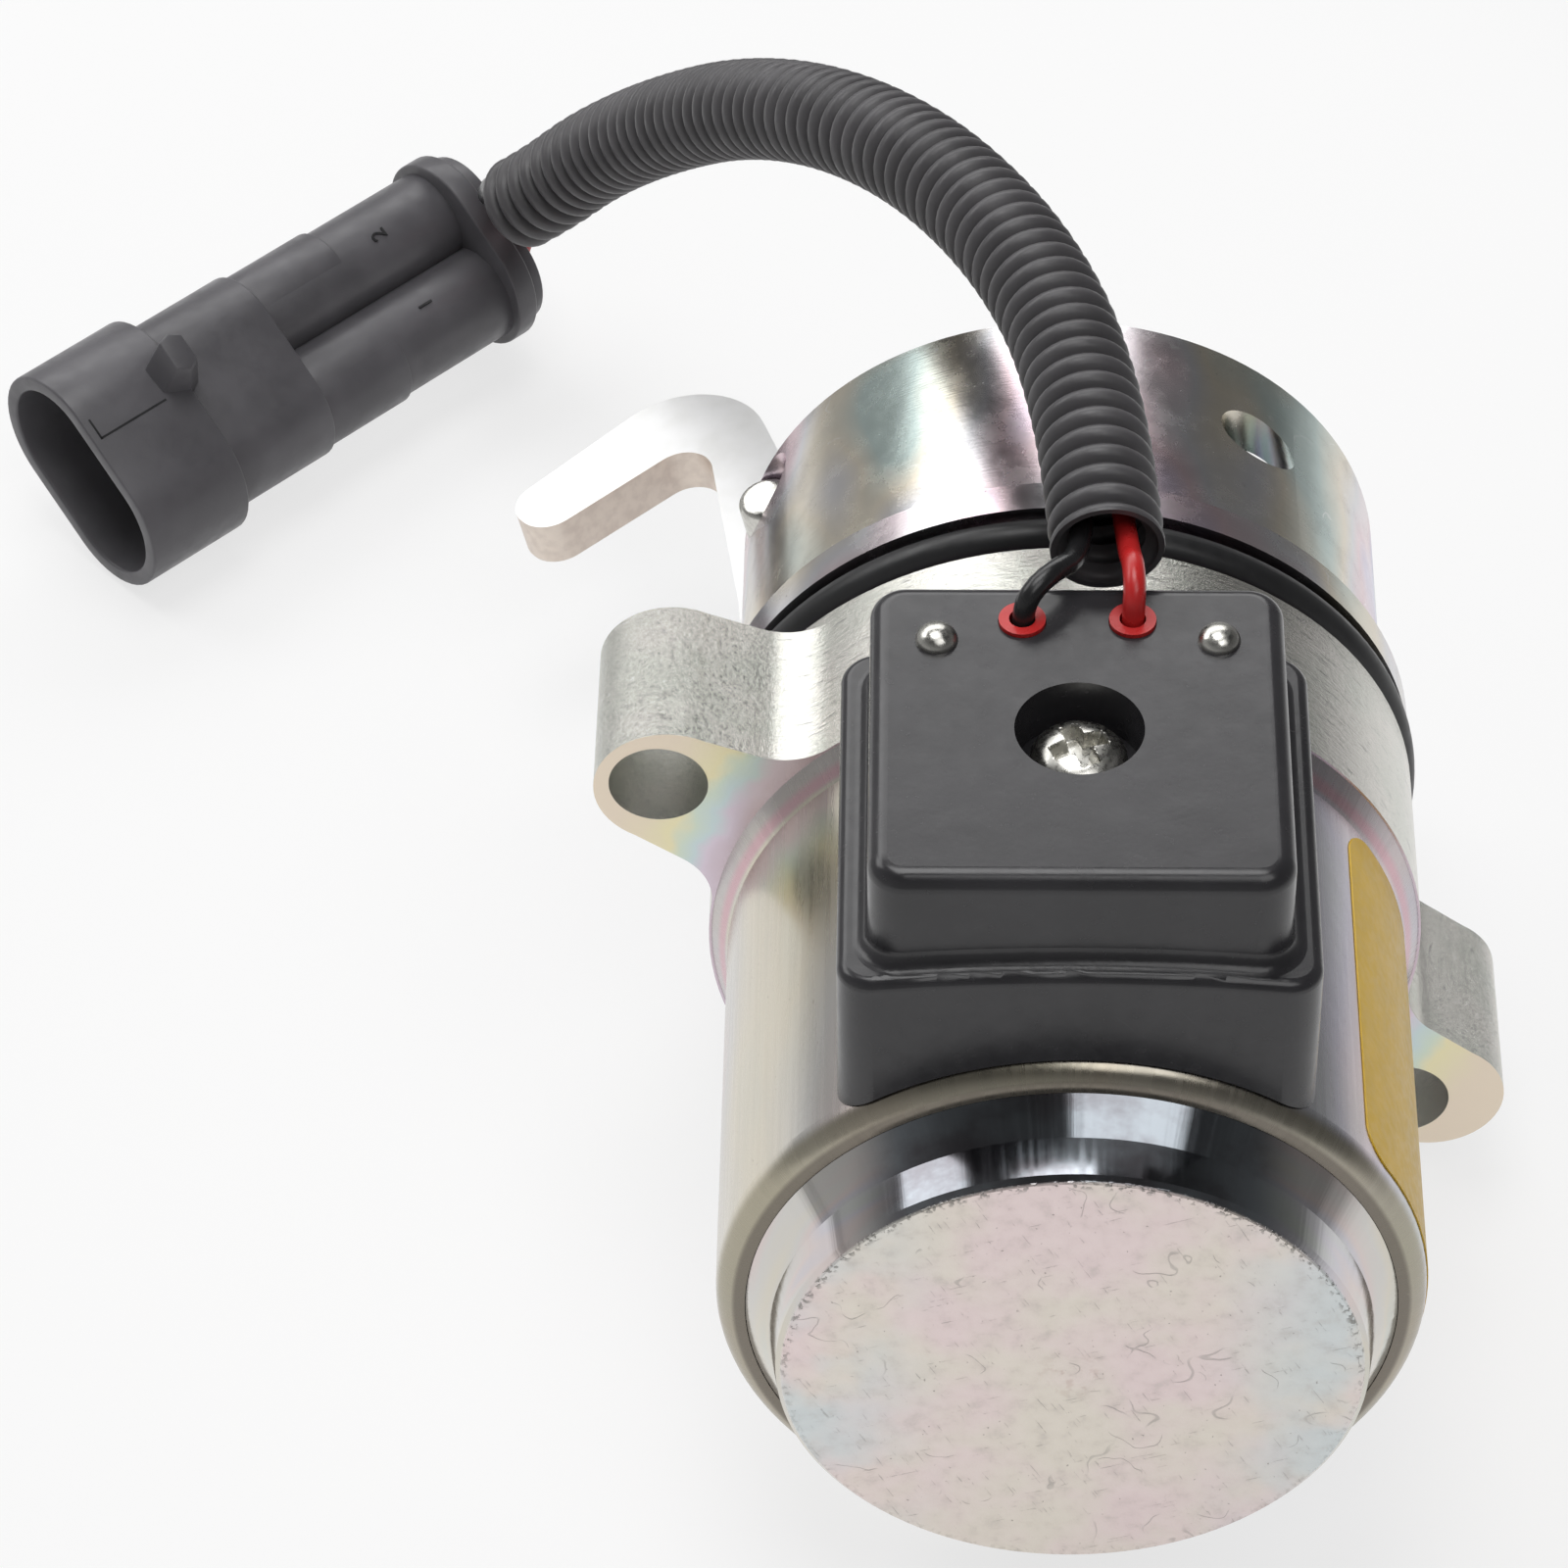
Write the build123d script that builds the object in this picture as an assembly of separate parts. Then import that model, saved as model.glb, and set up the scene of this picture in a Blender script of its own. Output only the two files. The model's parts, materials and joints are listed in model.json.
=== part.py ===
from build123d import *
import math
import os

# Fuel shutoff solenoid with a rocking hook lever, a two-wire lead and a two-way connector.
#
# Millimetres. The plunger axis is Y and the front of the solenoid, which enters the engine,
# points along +Y. +Z is up through the terminal cover. The origin is on the axis, where the
# rear face of the pilot lip meets it.

# Barrel and end plug
BARREL_RADIUS = 30.0
BARREL_WALL = 2.5
BARREL_LENGTH = 43.1
BARREL_FLARE_LENGTH = 2.5
BARREL_FLARE_GROWTH = 1.5
PLUG_STEP_INSET = 2.1
PLUG_FACE_INSET = 1.2
PLUG_STEP_LENGTH = 4.0
PLUG_CONE_LENGTH = 3.0
PLUG_SEAT_LENGTH = 5.0
PLUG_EDGE = 0.6

# Mounting flange with two ears
FLANGE_PROUD = 1.7
FLANGE_THICKNESS = 17.2
FLANGE_SPIGOT_LENGTH = 2.5
EAR_THICKNESS = 16.0
EAR_PROUD = 7.9
EAR_END_RADIUS = 6.6
EAR_ROOT_HALF_WIDTH = 7.6
EAR_ROOT_SPREAD = 1.5
EAR_ROOT_FILLET = 6.0
EAR_ROOT_FILLET_SHARE = 0.76
LEFT_EAR_ANGLE = 151.5
RIGHT_EAR_ANGLE = -31.0
LEFT_HOLE_PROUD = 4.0
LEFT_HOLE_RISE = 19.4
RIGHT_HOLE_INSET = 0.5
RIGHT_HOLE_DROP = 21.0
EAR_HOLE_RADIUS = 4.35

# Seal groove, pilot lip and front collar
GROOVE_WIDTH = 5.1
GROOVE_DEPTH = 3.2
SEAL_SECTION = 3.6
LIP_RADIUS = 31.8
LIP_LENGTH = 3.3
COLLAR_RADIUS = 29.7
COLLAR_WALL = 3.4
COLLAR_LENGTH = 24.6
COLLAR_FLOOR = 5.0
COLLAR_SPIGOT_RADIUS = 12.0
COLLAR_SPIGOT_LENGTH = 4.0
COLLAR_EDGE = 0.5

# Coil, magnetic circuit and plunger
SEAT_CLEARANCE = 0.05
SLIDE_CLEARANCE = 0.3
GUIDE_WALL = 0.8
ARMATURE_RADIUS = 10.9
ARMATURE_LENGTH = 20.0
PLUNGER_STROKE = 5.0
BOBBIN_HUB_WALL = 2.2
BOBBIN_FLANGE = 1.6
COIL_GAP = 1.9
POLE_NECK_RADIUS = 9.0
ROD_RADIUS = 3.0
BUSH_WALL = 2.0
BUSH_PROUD = 1.0
SPRING_WIRE = 0.9
SPRING_RADIUS = 4.9
SPRING_TURNS = 7
SPRING_POCKET_RADIUS = 6.0
ARMATURE_POCKET = 8.0
ARMATURE_EDGE = 0.6
POLE_POCKET = 6.0

# Hook lever, its pivot and the fork that drives it
LEVER_TILT = 12.0
LEVER_THICKNESS = 4.7
LEVER_CLEARANCE = 0.4
PIVOT_OFFSET = 24.6
PIVOT_FORWARD = 24.6
PIVOT_RADIUS = 2.8
PIVOT_REACH = 16.0
PIVOT_DOME = 0.8
HUB_RADIUS = 5.8
ARM_END_RADIUS = 4.6
LINK_FORWARD = 19.5
LINK_RADIUS = 1.5
LINK_SLOT_SLIP = 1.6
FORK_RADIUS = 6.2
FORK_TIP = 4.0
FORK_ROOT = 4.5
FORK_ROOT_EDGE = 1.0
FORK_EDGE = 0.6
FORK_SLOT_GAP = 1.0
CROSS_HOLE_OFFSET = 22.2
CROSS_HOLE_FORWARD = 18.0
CROSS_HOLE_RADIUS = 2.8
SHANK_EDGE = (30.3, 24.6)
HOOK_CROOK = (34.4, 50.5)
HOOK_TIP_INNER = (50.6, 39.2)
HOOK_TIP_OUTER = (54.6, 44.4)
HOOK_CROWN = (32.7, 62.4)
SHANK_BACK = (20.4, 27.5)
CROOK_RADIUS = 3.2
CROWN_RADIUS = 8.6

# Terminal cover on the barrel
COVER_CENTRE = -44.9
COVER_RISE = 18.8
COVER_WIDTH = 34.2
COVER_LENGTH = 34.5
COVER_CORNER = 3.0
COVER_EDGE = 1.6
COVER_WALL = 2.4
COVER_INNER_CORNER = 1.2
LEDGE_RISE = 9.8
LEDGE_SIDE_MARGIN = 2.5
LEDGE_END_MARGIN = 2.05
LEDGE_CROWN_RADIUS = 150.0
LEDGE_EDGE = 1.0
LEDGE_ROOT_FILLET = 1.4
RECESS_RADIUS = 5.3
RECESS_DEPTH = 5.0
SCREW_HEAD_RADIUS = 4.0
SCREW_HEAD_HEIGHT = 2.6
SCREW_RADIUS = 2.0
SCREW_CROSS_WIDTH = 0.9
SCREW_CROSS_LENGTH = 4.4
SCREW_CROSS_DEPTH = 1.2
SCREW_TIP_CLEARANCE = 0.2
SCREW_BOSS_RADIUS = 7.2
BOARD_THICKNESS = 1.8
PIN_SIDE_INSET = 5.5
PIN_END_INSET = 6.95
PIN_RADIUS = 1.2
PIN_HEAD_RADIUS = 1.7
PIN_HEAD_HEIGHT = 0.9
SLEEVE_OFFSET = 4.55
SLEEVE_END_INSET = 4.75
SLEEVE_RADIUS = 1.95
SLEEVE_LENGTH = 7.5
SLEEVE_PROUD = 0.35

# Plain label wrapped on the barrel
LABEL_THICKNESS = 0.12
LABEL_LIFT = 0.01
LABEL_LENGTH = 37.5
LABEL_CENTRE = -44.0
LABEL_MIDDLE_ANGLE = 84.0
LABEL_SPAN = 61.0
LABEL_CORNER = 3.0

# Lead: two wires in a conduit
WIRE_RADIUS = 0.95
WIRE_CLEARANCE = 0.15
WIRE_SPREAD = 1.5
CONDUIT_RADIUS = 4.85
CONDUIT_BORE_RADIUS = 3.5
CONDUIT_ROUTE = [
    (2.6, -24.9, 50.0),
    (2.2, -18.2, 50.5),
    (1.1, -7.1, 50.5),
    (-1.3, 5.2, 50.0),
    (-6.1, 18.9, 48.0),
    (-13.1, 33.5, 44.0),
    (-21.3, 47.4, 37.5),
    (-29.8, 60.7, 28.0),
    (-38.2, 72.8, 16.0),
    (-45.8, 83.2, 3.5),
    (-51.2, 89.2, -5.0),
    (-55.1, 92.3, -10.5),
]
BLACK_WIRE_START = [
    (-4.55, -32.4, 47.2),
    (-4.5, -32.25, 49.8),
    (-3.8, -31.5, 51.4),
    (-1.9, -29.5, 51.9),
    (0.3, -27.2, 51.2),
]
RED_WIRE_START = [
    (4.55, -32.4, 47.2),
    (4.6, -32.25, 49.8),
    (4.7, -31.2, 51.5),
    (4.6, -28.8, 52.0),
    (4.3, -26.6, 51.2),
]
BLACK_WIRE_TURN = [
    (-56.3, 95.8, -13.3),
    (-55.0, 99.8, -17.3),
    (-56.4, 103.3, -18.3),
    (-60.3, 103.8, -18.34),
]
RED_WIRE_TURN = [
    (-54.2, 94.2, -14.0),
    (-51.9, 96.0, -19.5),
    (-51.9, 97.6, -23.0),
    (-54.9, 98.4, -23.86),
]

# Connector at the end of the lead
CONNECTOR_MOUTH = (-98.3, 60.9, -21.1)
CONNECTOR_HEADING = (-0.711, -0.703, 0.0)
CONNECTOR_ROLL = 36.0
SHROUD_WIDTH = 24.6
SHROUD_HEIGHT = 15.8
SHROUD_LENGTH = 12.5
SHROUD_WALL = 1.6
SHROUD_DEPTH = 11.0
NECK_WIDTH = 21.4
NECK_HEIGHT = 12.6
NECK_LENGTH = 13.0
CAVITY_RADIUS = 5.2
CAVITY_SPACING = 9.4
CAVITY_LENGTH = 25.5
FLANGE_OVAL_WIDTH = 21.6
FLANGE_OVAL_HEIGHT = 15.0
FLANGE_OVAL_LENGTH = 2.2
REAR_CAP_WIDTH = 19.6
REAR_CAP_HEIGHT = 12.6
REAR_CAP_LENGTH = 1.8
SEAL_PLUG_RADIUS = 3.4
SEAL_PLUG_DEPTH = 6.0
SEAL_PLUG_PROUD = 0.4
WIRE_SEAT_DEPTH = 1.5
LATCH_WIDTH = 4.6
LATCH_LENGTH = 4.6
LATCH_RISE = 2.4
LATCH_SETBACK = 0.6
BLADE_WIDTH = 1.5
BLADE_THICKNESS = 0.8
BLADE_LENGTH = 24.0
BLADE_START = 5.5

# Stations along the axis that follow from the sizes above
FLANGE_FRONT = -GROOVE_WIDTH
FLANGE_REAR = FLANGE_FRONT - FLANGE_THICKNESS
BARREL_REAR = FLANGE_REAR - BARREL_LENGTH
BARREL_BORE = BARREL_RADIUS - BARREL_WALL
PLUG_STEP_RADIUS = BARREL_BORE - PLUG_STEP_INSET
PLUG_FACE_RADIUS = PLUG_STEP_RADIUS - PLUG_FACE_INSET
FLANGE_RADIUS = BARREL_RADIUS + FLANGE_PROUD
EAR_REACH = FLANGE_RADIUS + EAR_PROUD
LEFT_HOLE = (-FLANGE_RADIUS - LEFT_HOLE_PROUD, LEFT_HOLE_RISE)
RIGHT_HOLE = (FLANGE_RADIUS - RIGHT_HOLE_INSET, -RIGHT_HOLE_DROP)
COIL_RADIUS = BARREL_BORE - COIL_GAP
PLUG_FACE = BARREL_REAR - PLUG_STEP_LENGTH - PLUG_CONE_LENGTH
PLUG_INNER = BARREL_REAR + PLUG_SEAT_LENGTH
SPIGOT_REAR = FLANGE_REAR - FLANGE_SPIGOT_LENGTH
GROOVE_RADIUS = LIP_RADIUS - GROOVE_DEPTH
COLLAR_FRONT = LIP_LENGTH + COLLAR_LENGTH
COLLAR_BORE = COLLAR_RADIUS - COLLAR_WALL
COLLAR_REAR = FLANGE_FRONT - COLLAR_SPIGOT_LENGTH
GUIDE_BORE = ARMATURE_RADIUS + SLIDE_CLEARANCE
GUIDE_RADIUS = GUIDE_BORE + GUIDE_WALL
BOBBIN_BORE = GUIDE_RADIUS + SEAT_CLEARANCE
BOBBIN_HUB = BOBBIN_BORE + BOBBIN_HUB_WALL
ARMATURE_REAR = PLUG_INNER + SLIDE_CLEARANCE
ARMATURE_FRONT = ARMATURE_REAR + ARMATURE_LENGTH
POLE_REAR = ARMATURE_FRONT + PLUNGER_STROKE + SLIDE_CLEARANCE
POLE_BORE = ROD_RADIUS + SLIDE_CLEARANCE
BUSH_RADIUS = ROD_RADIUS + BUSH_WALL
BUSH_FRONT = COLLAR_FLOOR + BUSH_PROUD
FORK_FRONT = LINK_FORWARD + FORK_TIP
FORK_SLOT_FLOOR = LINK_FORWARD - ARM_END_RADIUS - FORK_SLOT_GAP
FORK_REAR = FORK_SLOT_FLOOR - FORK_ROOT
COVER_TOP = BARREL_RADIUS + COVER_RISE
COVER_FLOOR = COVER_TOP - RECESS_DEPTH
LEDGE_HEIGHT = BARREL_RADIUS + LEDGE_RISE
LEDGE_WIDTH = COVER_WIDTH + 2 * LEDGE_SIDE_MARGIN
LEDGE_LENGTH = COVER_LENGTH + 2 * LEDGE_END_MARGIN
PIN_OFFSET = COVER_WIDTH / 2 - PIN_SIDE_INSET
PIN_FORWARD = COVER_LENGTH / 2 - PIN_END_INSET
SLEEVE_FORWARD = COVER_LENGTH / 2 - SLEEVE_END_INSET
BOARD_UNDERSIDE = BARREL_RADIUS + SEAT_CLEARANCE
BOARD_TOP = BOARD_UNDERSIDE + BOARD_THICKNESS

# The lever lies in a plane that is tilted about the plunger axis. In that plane, x runs to
# the left of the solenoid and y runs forward. Its normal leans back over the cover.
TILT = math.radians(LEVER_TILT)
ACROSS = Vector(-math.cos(TILT), 0, -math.sin(TILT))
LEVER_NORMAL = Vector(-math.sin(TILT), 0, math.cos(TILT))
LEVER_PLANE = Plane(origin=(0, 0, 0), x_dir=ACROSS, z_dir=-LEVER_NORMAL)

# Frame of the connector: z runs from its rear to its mouth, x along the oval's long side
HEADING = Vector(*CONNECTOR_HEADING).normalized()
LEVEL = Vector(-HEADING.Y, HEADING.X, 0)
ROLL = math.radians(CONNECTOR_ROLL)
LONG_SIDE = LEVEL * math.cos(ROLL) + Vector(0, 0, -math.sin(ROLL))
CONNECTOR_PLANE = Plane(origin=CONNECTOR_MOUTH, x_dir=LONG_SIDE, z_dir=-HEADING)
NECK_START = SHROUD_LENGTH
CAVITY_START = NECK_START + NECK_LENGTH
OVAL_START = CAVITY_START + CAVITY_LENGTH
CAP_START = OVAL_START + FLANGE_OVAL_LENGTH
CONNECTOR_LENGTH = CAP_START + REAR_CAP_LENGTH


def turned(*outline):
    """Turn a closed outline of (radius, station) points about the plunger axis."""
    profile = make_face(Polyline(*outline, close=True))
    return revolve(profile, Axis.Y)


def ring(inner, outer, rear, front):
    """A plain turned ring."""
    return turned((inner, rear), (outer, rear), (outer, front), (inner, front))


def disc(radius, rear, front):
    """A solid cylinder on the plunger axis."""
    return turned((0, rear), (radius, rear), (radius, front), (0, front))


def along_axis(sketch, rear, front):
    """Extrude a sketch drawn in X and Z from one station on the plunger axis to another."""
    plane = Plane(origin=(0, rear, 0), x_dir=(-1, 0, 0), z_dir=(0, 1, 0))
    return extrude(plane * sketch, front - rear)


def across_lever(x, y, radius, low, high):
    """A pin square to the lever's plane, from one height over the plane to another."""
    centre = ACROSS * x + Vector(0, y, 0) + LEVER_NORMAL * low
    plane = Plane(origin=centre, x_dir=ACROSS, z_dir=LEVER_NORMAL)
    return extrude(plane * Circle(radius), high - low)


def upright(x, y, radius, low, high):
    """A vertical cylinder."""
    plane = Plane(origin=(x, y, low))
    return extrude(plane * Circle(radius), high - low)


def barrel():
    """The drawn steel can, rolled over the end plug and flared where it meets the flange."""
    flare_start = FLANGE_REAR - BARREL_FLARE_LENGTH
    can = turned(
        (BARREL_BORE, BARREL_REAR),
        (BARREL_RADIUS, BARREL_REAR),
        (BARREL_RADIUS, flare_start),
        (BARREL_RADIUS + BARREL_FLARE_GROWTH, FLANGE_REAR),
        (BARREL_BORE, FLANGE_REAR),
    )
    rim = can.edges().filter_by(GeomType.CIRCLE).group_by(Axis.Y)[0].sort_by(SortBy.RADIUS)[-1]
    can = fillet(rim, BARREL_WALL - 0.1)
    can -= upright(0, COVER_CENTRE, SCREW_RADIUS, 0, BARREL_RADIUS + 1)
    return can


def end_plug():
    """The turned plug that closes the rear: a step, a cone under the rolled rim and a seat."""
    cone_start = PLUG_FACE + PLUG_STEP_LENGTH
    return turned(
        (0, PLUG_FACE),
        (PLUG_FACE_RADIUS, PLUG_FACE),
        (PLUG_FACE_RADIUS + PLUG_EDGE, PLUG_FACE + PLUG_EDGE),
        (PLUG_STEP_RADIUS, cone_start),
        (BARREL_BORE - SEAT_CLEARANCE, BARREL_REAR),
        (BARREL_BORE - SEAT_CLEARANCE, PLUG_INNER),
        (0, PLUG_INNER),
    )


def ear_outline(angle):
    """One ear in the plane of the flange: a tapered neck that ends in a round."""
    neck = Polygon(
        (0, EAR_ROOT_HALF_WIDTH + EAR_ROOT_SPREAD),
        (0, -EAR_ROOT_HALF_WIDTH - EAR_ROOT_SPREAD),
        (FLANGE_RADIUS, -EAR_ROOT_HALF_WIDTH),
        (EAR_REACH, -EAR_END_RADIUS),
        (EAR_REACH, EAR_END_RADIUS),
        (FLANGE_RADIUS, EAR_ROOT_HALF_WIDTH),
        align=None,
    )
    end = Pos(EAR_REACH, 0) * Circle(EAR_END_RADIUS)
    return Rot(0, 0, 180 - angle) * (neck + end)


def mounting_flange():
    """The forged flange with two ears, its spigot in the barrel and the seat of the collar."""
    ears_front = FLANGE_REAR + EAR_THICKNESS
    body = disc(FLANGE_RADIUS, FLANGE_REAR, ears_front)
    for angle in (LEFT_EAR_ANGLE, RIGHT_EAR_ANGLE):
        body += along_axis(ear_outline(angle), FLANGE_REAR, ears_front)
    roots = [
        edge
        for edge in body.edges().filter_by(Axis.Y)
        if abs(Vector(edge.center().X, edge.center().Z).length - FLANGE_RADIUS) < 0.01
    ]
    root_fillet = min(EAR_ROOT_FILLET, EAR_ROOT_FILLET_SHARE * EAR_PROUD)
    body = fillet([edge for edge in roots if len(edge.vertices()) == 2], root_fillet)
    body += disc(FLANGE_RADIUS, FLANGE_REAR, FLANGE_FRONT)
    body += disc(BARREL_BORE - SEAT_CLEARANCE, SPIGOT_REAR, FLANGE_REAR)
    body -= disc(POLE_NECK_RADIUS + SEAT_CLEARANCE, SPIGOT_REAR, FLANGE_FRONT)
    body -= disc(COLLAR_SPIGOT_RADIUS + SEAT_CLEARANCE, COLLAR_REAR, FLANGE_FRONT)
    for x, z in (LEFT_HOLE, RIGHT_HOLE):
        hole = Pos(-x, z) * Circle(EAR_HOLE_RADIUS)
        body -= along_axis(hole, FLANGE_REAR, FLANGE_FRONT)
    return body


def front_collar():
    """The turned collar: seal groove, pilot lip and an open cup that houses the lever."""
    cup = turned(
        (BUSH_RADIUS, COLLAR_REAR),
        (COLLAR_SPIGOT_RADIUS, COLLAR_REAR),
        (COLLAR_SPIGOT_RADIUS, FLANGE_FRONT),
        (GROOVE_RADIUS, FLANGE_FRONT),
        (GROOVE_RADIUS, 0),
        (LIP_RADIUS, 0),
        (LIP_RADIUS, LIP_LENGTH),
        (COLLAR_RADIUS, LIP_LENGTH),
        (COLLAR_RADIUS, COLLAR_FRONT - COLLAR_EDGE),
        (COLLAR_RADIUS - COLLAR_EDGE, COLLAR_FRONT),
        (COLLAR_BORE + COLLAR_EDGE, COLLAR_FRONT),
        (COLLAR_BORE, COLLAR_FRONT - COLLAR_EDGE),
        (COLLAR_BORE, COLLAR_FLOOR),
        (BUSH_RADIUS, COLLAR_FLOOR),
    )
    beyond = COLLAR_RADIUS + 1
    cup -= across_lever(PIVOT_OFFSET, PIVOT_FORWARD, PIVOT_RADIUS, -beyond, beyond)
    cup -= across_lever(-CROSS_HOLE_OFFSET, CROSS_HOLE_FORWARD, CROSS_HOLE_RADIUS, 0, beyond)
    slot_rear = PIVOT_FORWARD - HUB_RADIUS - LEVER_CLEARANCE
    slot = Polygon(
        (COLLAR_BORE / 2, slot_rear),
        (beyond, slot_rear),
        (beyond, COLLAR_FRONT + 1),
        (COLLAR_BORE / 2, COLLAR_FRONT + 1),
        align=None,
    )
    cup -= extrude(LEVER_PLANE * slot, LEVER_THICKNESS / 2 + LEVER_CLEARANCE, both=True)
    return cup


def o_ring():
    """The seal in the groove behind the pilot lip."""
    centre = (GROOVE_RADIUS + SEAL_SECTION / 2, FLANGE_FRONT / 2)
    return revolve(Pos(*centre) * Circle(SEAL_SECTION / 2), Axis.Y)


def coil_bobbin():
    """The moulded bobbin between the end plug and the flange spigot."""
    rear = PLUG_INNER + SEAT_CLEARANCE
    front = SPIGOT_REAR - SEAT_CLEARANCE
    reach = BARREL_BORE - SLIDE_CLEARANCE
    return turned(
        (BOBBIN_BORE, rear),
        (reach, rear),
        (reach, rear + BOBBIN_FLANGE),
        (BOBBIN_HUB, rear + BOBBIN_FLANGE),
        (BOBBIN_HUB, front - BOBBIN_FLANGE),
        (reach, front - BOBBIN_FLANGE),
        (reach, front),
        (BOBBIN_BORE, front),
    )


def coil_winding():
    """The copper winding, as one block of turns between the bobbin's flanges."""
    rear = PLUG_INNER + BOBBIN_FLANGE + 2 * SEAT_CLEARANCE
    front = SPIGOT_REAR - BOBBIN_FLANGE - 2 * SEAT_CLEARANCE
    return ring(BOBBIN_HUB + SEAT_CLEARANCE, COIL_RADIUS, rear, front)


def guide_tube():
    """The brass tube that the armature slides in."""
    return ring(GUIDE_BORE, GUIDE_RADIUS, PLUG_INNER + SEAT_CLEARANCE, SPIGOT_REAR - SEAT_CLEARANCE)


def fixed_pole():
    """The pole piece: a core in the guide tube, a neck through the flange, a spring pocket."""
    front = COLLAR_REAR - SEAT_CLEARANCE
    return turned(
        (SPRING_POCKET_RADIUS, POLE_REAR),
        (GUIDE_BORE - SEAT_CLEARANCE, POLE_REAR),
        (GUIDE_BORE - SEAT_CLEARANCE, SPIGOT_REAR - SEAT_CLEARANCE),
        (POLE_NECK_RADIUS, SPIGOT_REAR - SEAT_CLEARANCE),
        (POLE_NECK_RADIUS, front),
        (POLE_BORE, front),
        (POLE_BORE, POLE_REAR + POLE_POCKET),
        (SPRING_POCKET_RADIUS, POLE_REAR + POLE_POCKET),
    )


def armature():
    """The sliding iron armature, pressed on the push rod, with a pocket for the spring."""
    return turned(
        (ROD_RADIUS, ARMATURE_REAR),
        (ARMATURE_RADIUS - ARMATURE_EDGE, ARMATURE_REAR),
        (ARMATURE_RADIUS, ARMATURE_REAR + ARMATURE_EDGE),
        (ARMATURE_RADIUS, ARMATURE_FRONT),
        (SPRING_POCKET_RADIUS, ARMATURE_FRONT),
        (SPRING_POCKET_RADIUS, ARMATURE_FRONT - ARMATURE_POCKET),
        (ROD_RADIUS, ARMATURE_FRONT - ARMATURE_POCKET),
    )


def push_rod():
    """The push rod with a fork on its front end, slotted for the lever and drilled for a pin."""
    rod = disc(ROD_RADIUS, ARMATURE_REAR, FORK_REAR)
    fork = turned(
        (0, FORK_REAR),
        (FORK_RADIUS - FORK_ROOT_EDGE, FORK_REAR),
        (FORK_RADIUS, FORK_REAR + FORK_ROOT_EDGE),
        (FORK_RADIUS, FORK_FRONT - FORK_EDGE),
        (FORK_RADIUS - FORK_EDGE, FORK_FRONT),
        (0, FORK_FRONT),
    )
    slot = Polygon(
        (-FORK_RADIUS - 1, FORK_SLOT_FLOOR),
        (FORK_RADIUS + 1, FORK_SLOT_FLOOR),
        (FORK_RADIUS + 1, FORK_FRONT + 1),
        (-FORK_RADIUS - 1, FORK_FRONT + 1),
        align=None,
    )
    fork -= extrude(LEVER_PLANE * slot, LEVER_THICKNESS / 2 + LEVER_CLEARANCE, both=True)
    fork -= across_lever(0, LINK_FORWARD, LINK_RADIUS, -FORK_RADIUS, FORK_RADIUS)
    return rod + fork


def rod_bush():
    """The bronze bush in the collar's floor that guides the push rod."""
    return ring(ROD_RADIUS + SEAT_CLEARANCE, BUSH_RADIUS, COLLAR_REAR, BUSH_FRONT)


def return_spring():
    """The coil spring between the armature and the pole."""
    rear = ARMATURE_FRONT - ARMATURE_POCKET + SPRING_WIRE / 2
    front = POLE_REAR + POLE_POCKET - SPRING_WIRE / 2
    height = front - rear
    path = Helix(height / SPRING_TURNS, height, SPRING_RADIUS, center=(0, rear, 0), direction=(0, 1, 0))
    section = Plane(origin=path @ 0, z_dir=path % 0) * Circle(SPRING_WIRE / 2)
    return sweep(section, path)


def link_pin():
    """The small pin that joins the fork to the lever."""
    reach = FORK_RADIUS - FORK_EDGE
    return across_lever(0, LINK_FORWARD, LINK_RADIUS, -reach, reach)


def pivot_pin():
    """The pin that the lever rocks on, pressed through the collar wall with a domed end."""
    pin = across_lever(PIVOT_OFFSET, PIVOT_FORWARD, PIVOT_RADIUS, -PIVOT_REACH, PIVOT_REACH)
    return fillet(pin.edges().filter_by(GeomType.CIRCLE), PIVOT_DOME)


def hook_lever():
    """The plate lever: an arm from the fork to the pivot, a shank and a hook finger."""
    hub = Pos(PIVOT_OFFSET, PIVOT_FORWARD) * Circle(HUB_RADIUS)
    arm_end = Pos(0, LINK_FORWARD) * Circle(ARM_END_RADIUS)
    arm = make_hull(hub.edges() + arm_end.edges())
    hook = Polygon(
        SHANK_EDGE,
        HOOK_CROOK,
        HOOK_TIP_INNER,
        HOOK_TIP_OUTER,
        HOOK_CROWN,
        SHANK_BACK,
        align=None,
    )
    corners = hook.vertices()
    crown = corners.sort_by_distance((*HOOK_CROWN, 0))[0]
    hook = fillet(crown, CROWN_RADIUS)
    for corner in (HOOK_CROOK, HOOK_TIP_INNER, HOOK_TIP_OUTER):
        vertex = hook.vertices().sort_by_distance((*corner, 0))[0]
        hook = fillet(vertex, CROOK_RADIUS)
    outline = arm + hook
    outline -= Pos(PIVOT_OFFSET, PIVOT_FORWARD) * Circle(PIVOT_RADIUS + SEAT_CLEARANCE)
    lean = math.degrees(math.atan2(PIVOT_FORWARD - LINK_FORWARD, PIVOT_OFFSET))
    slot = SlotOverall(2 * LINK_RADIUS + LINK_SLOT_SLIP, 2 * (LINK_RADIUS + SLIDE_CLEARANCE))
    outline -= Pos(0, LINK_FORWARD) * Rot(0, 0, lean) * slot
    plate = extrude(LEVER_PLANE * outline, LEVER_THICKNESS / 2, both=True)
    return plate


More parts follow.
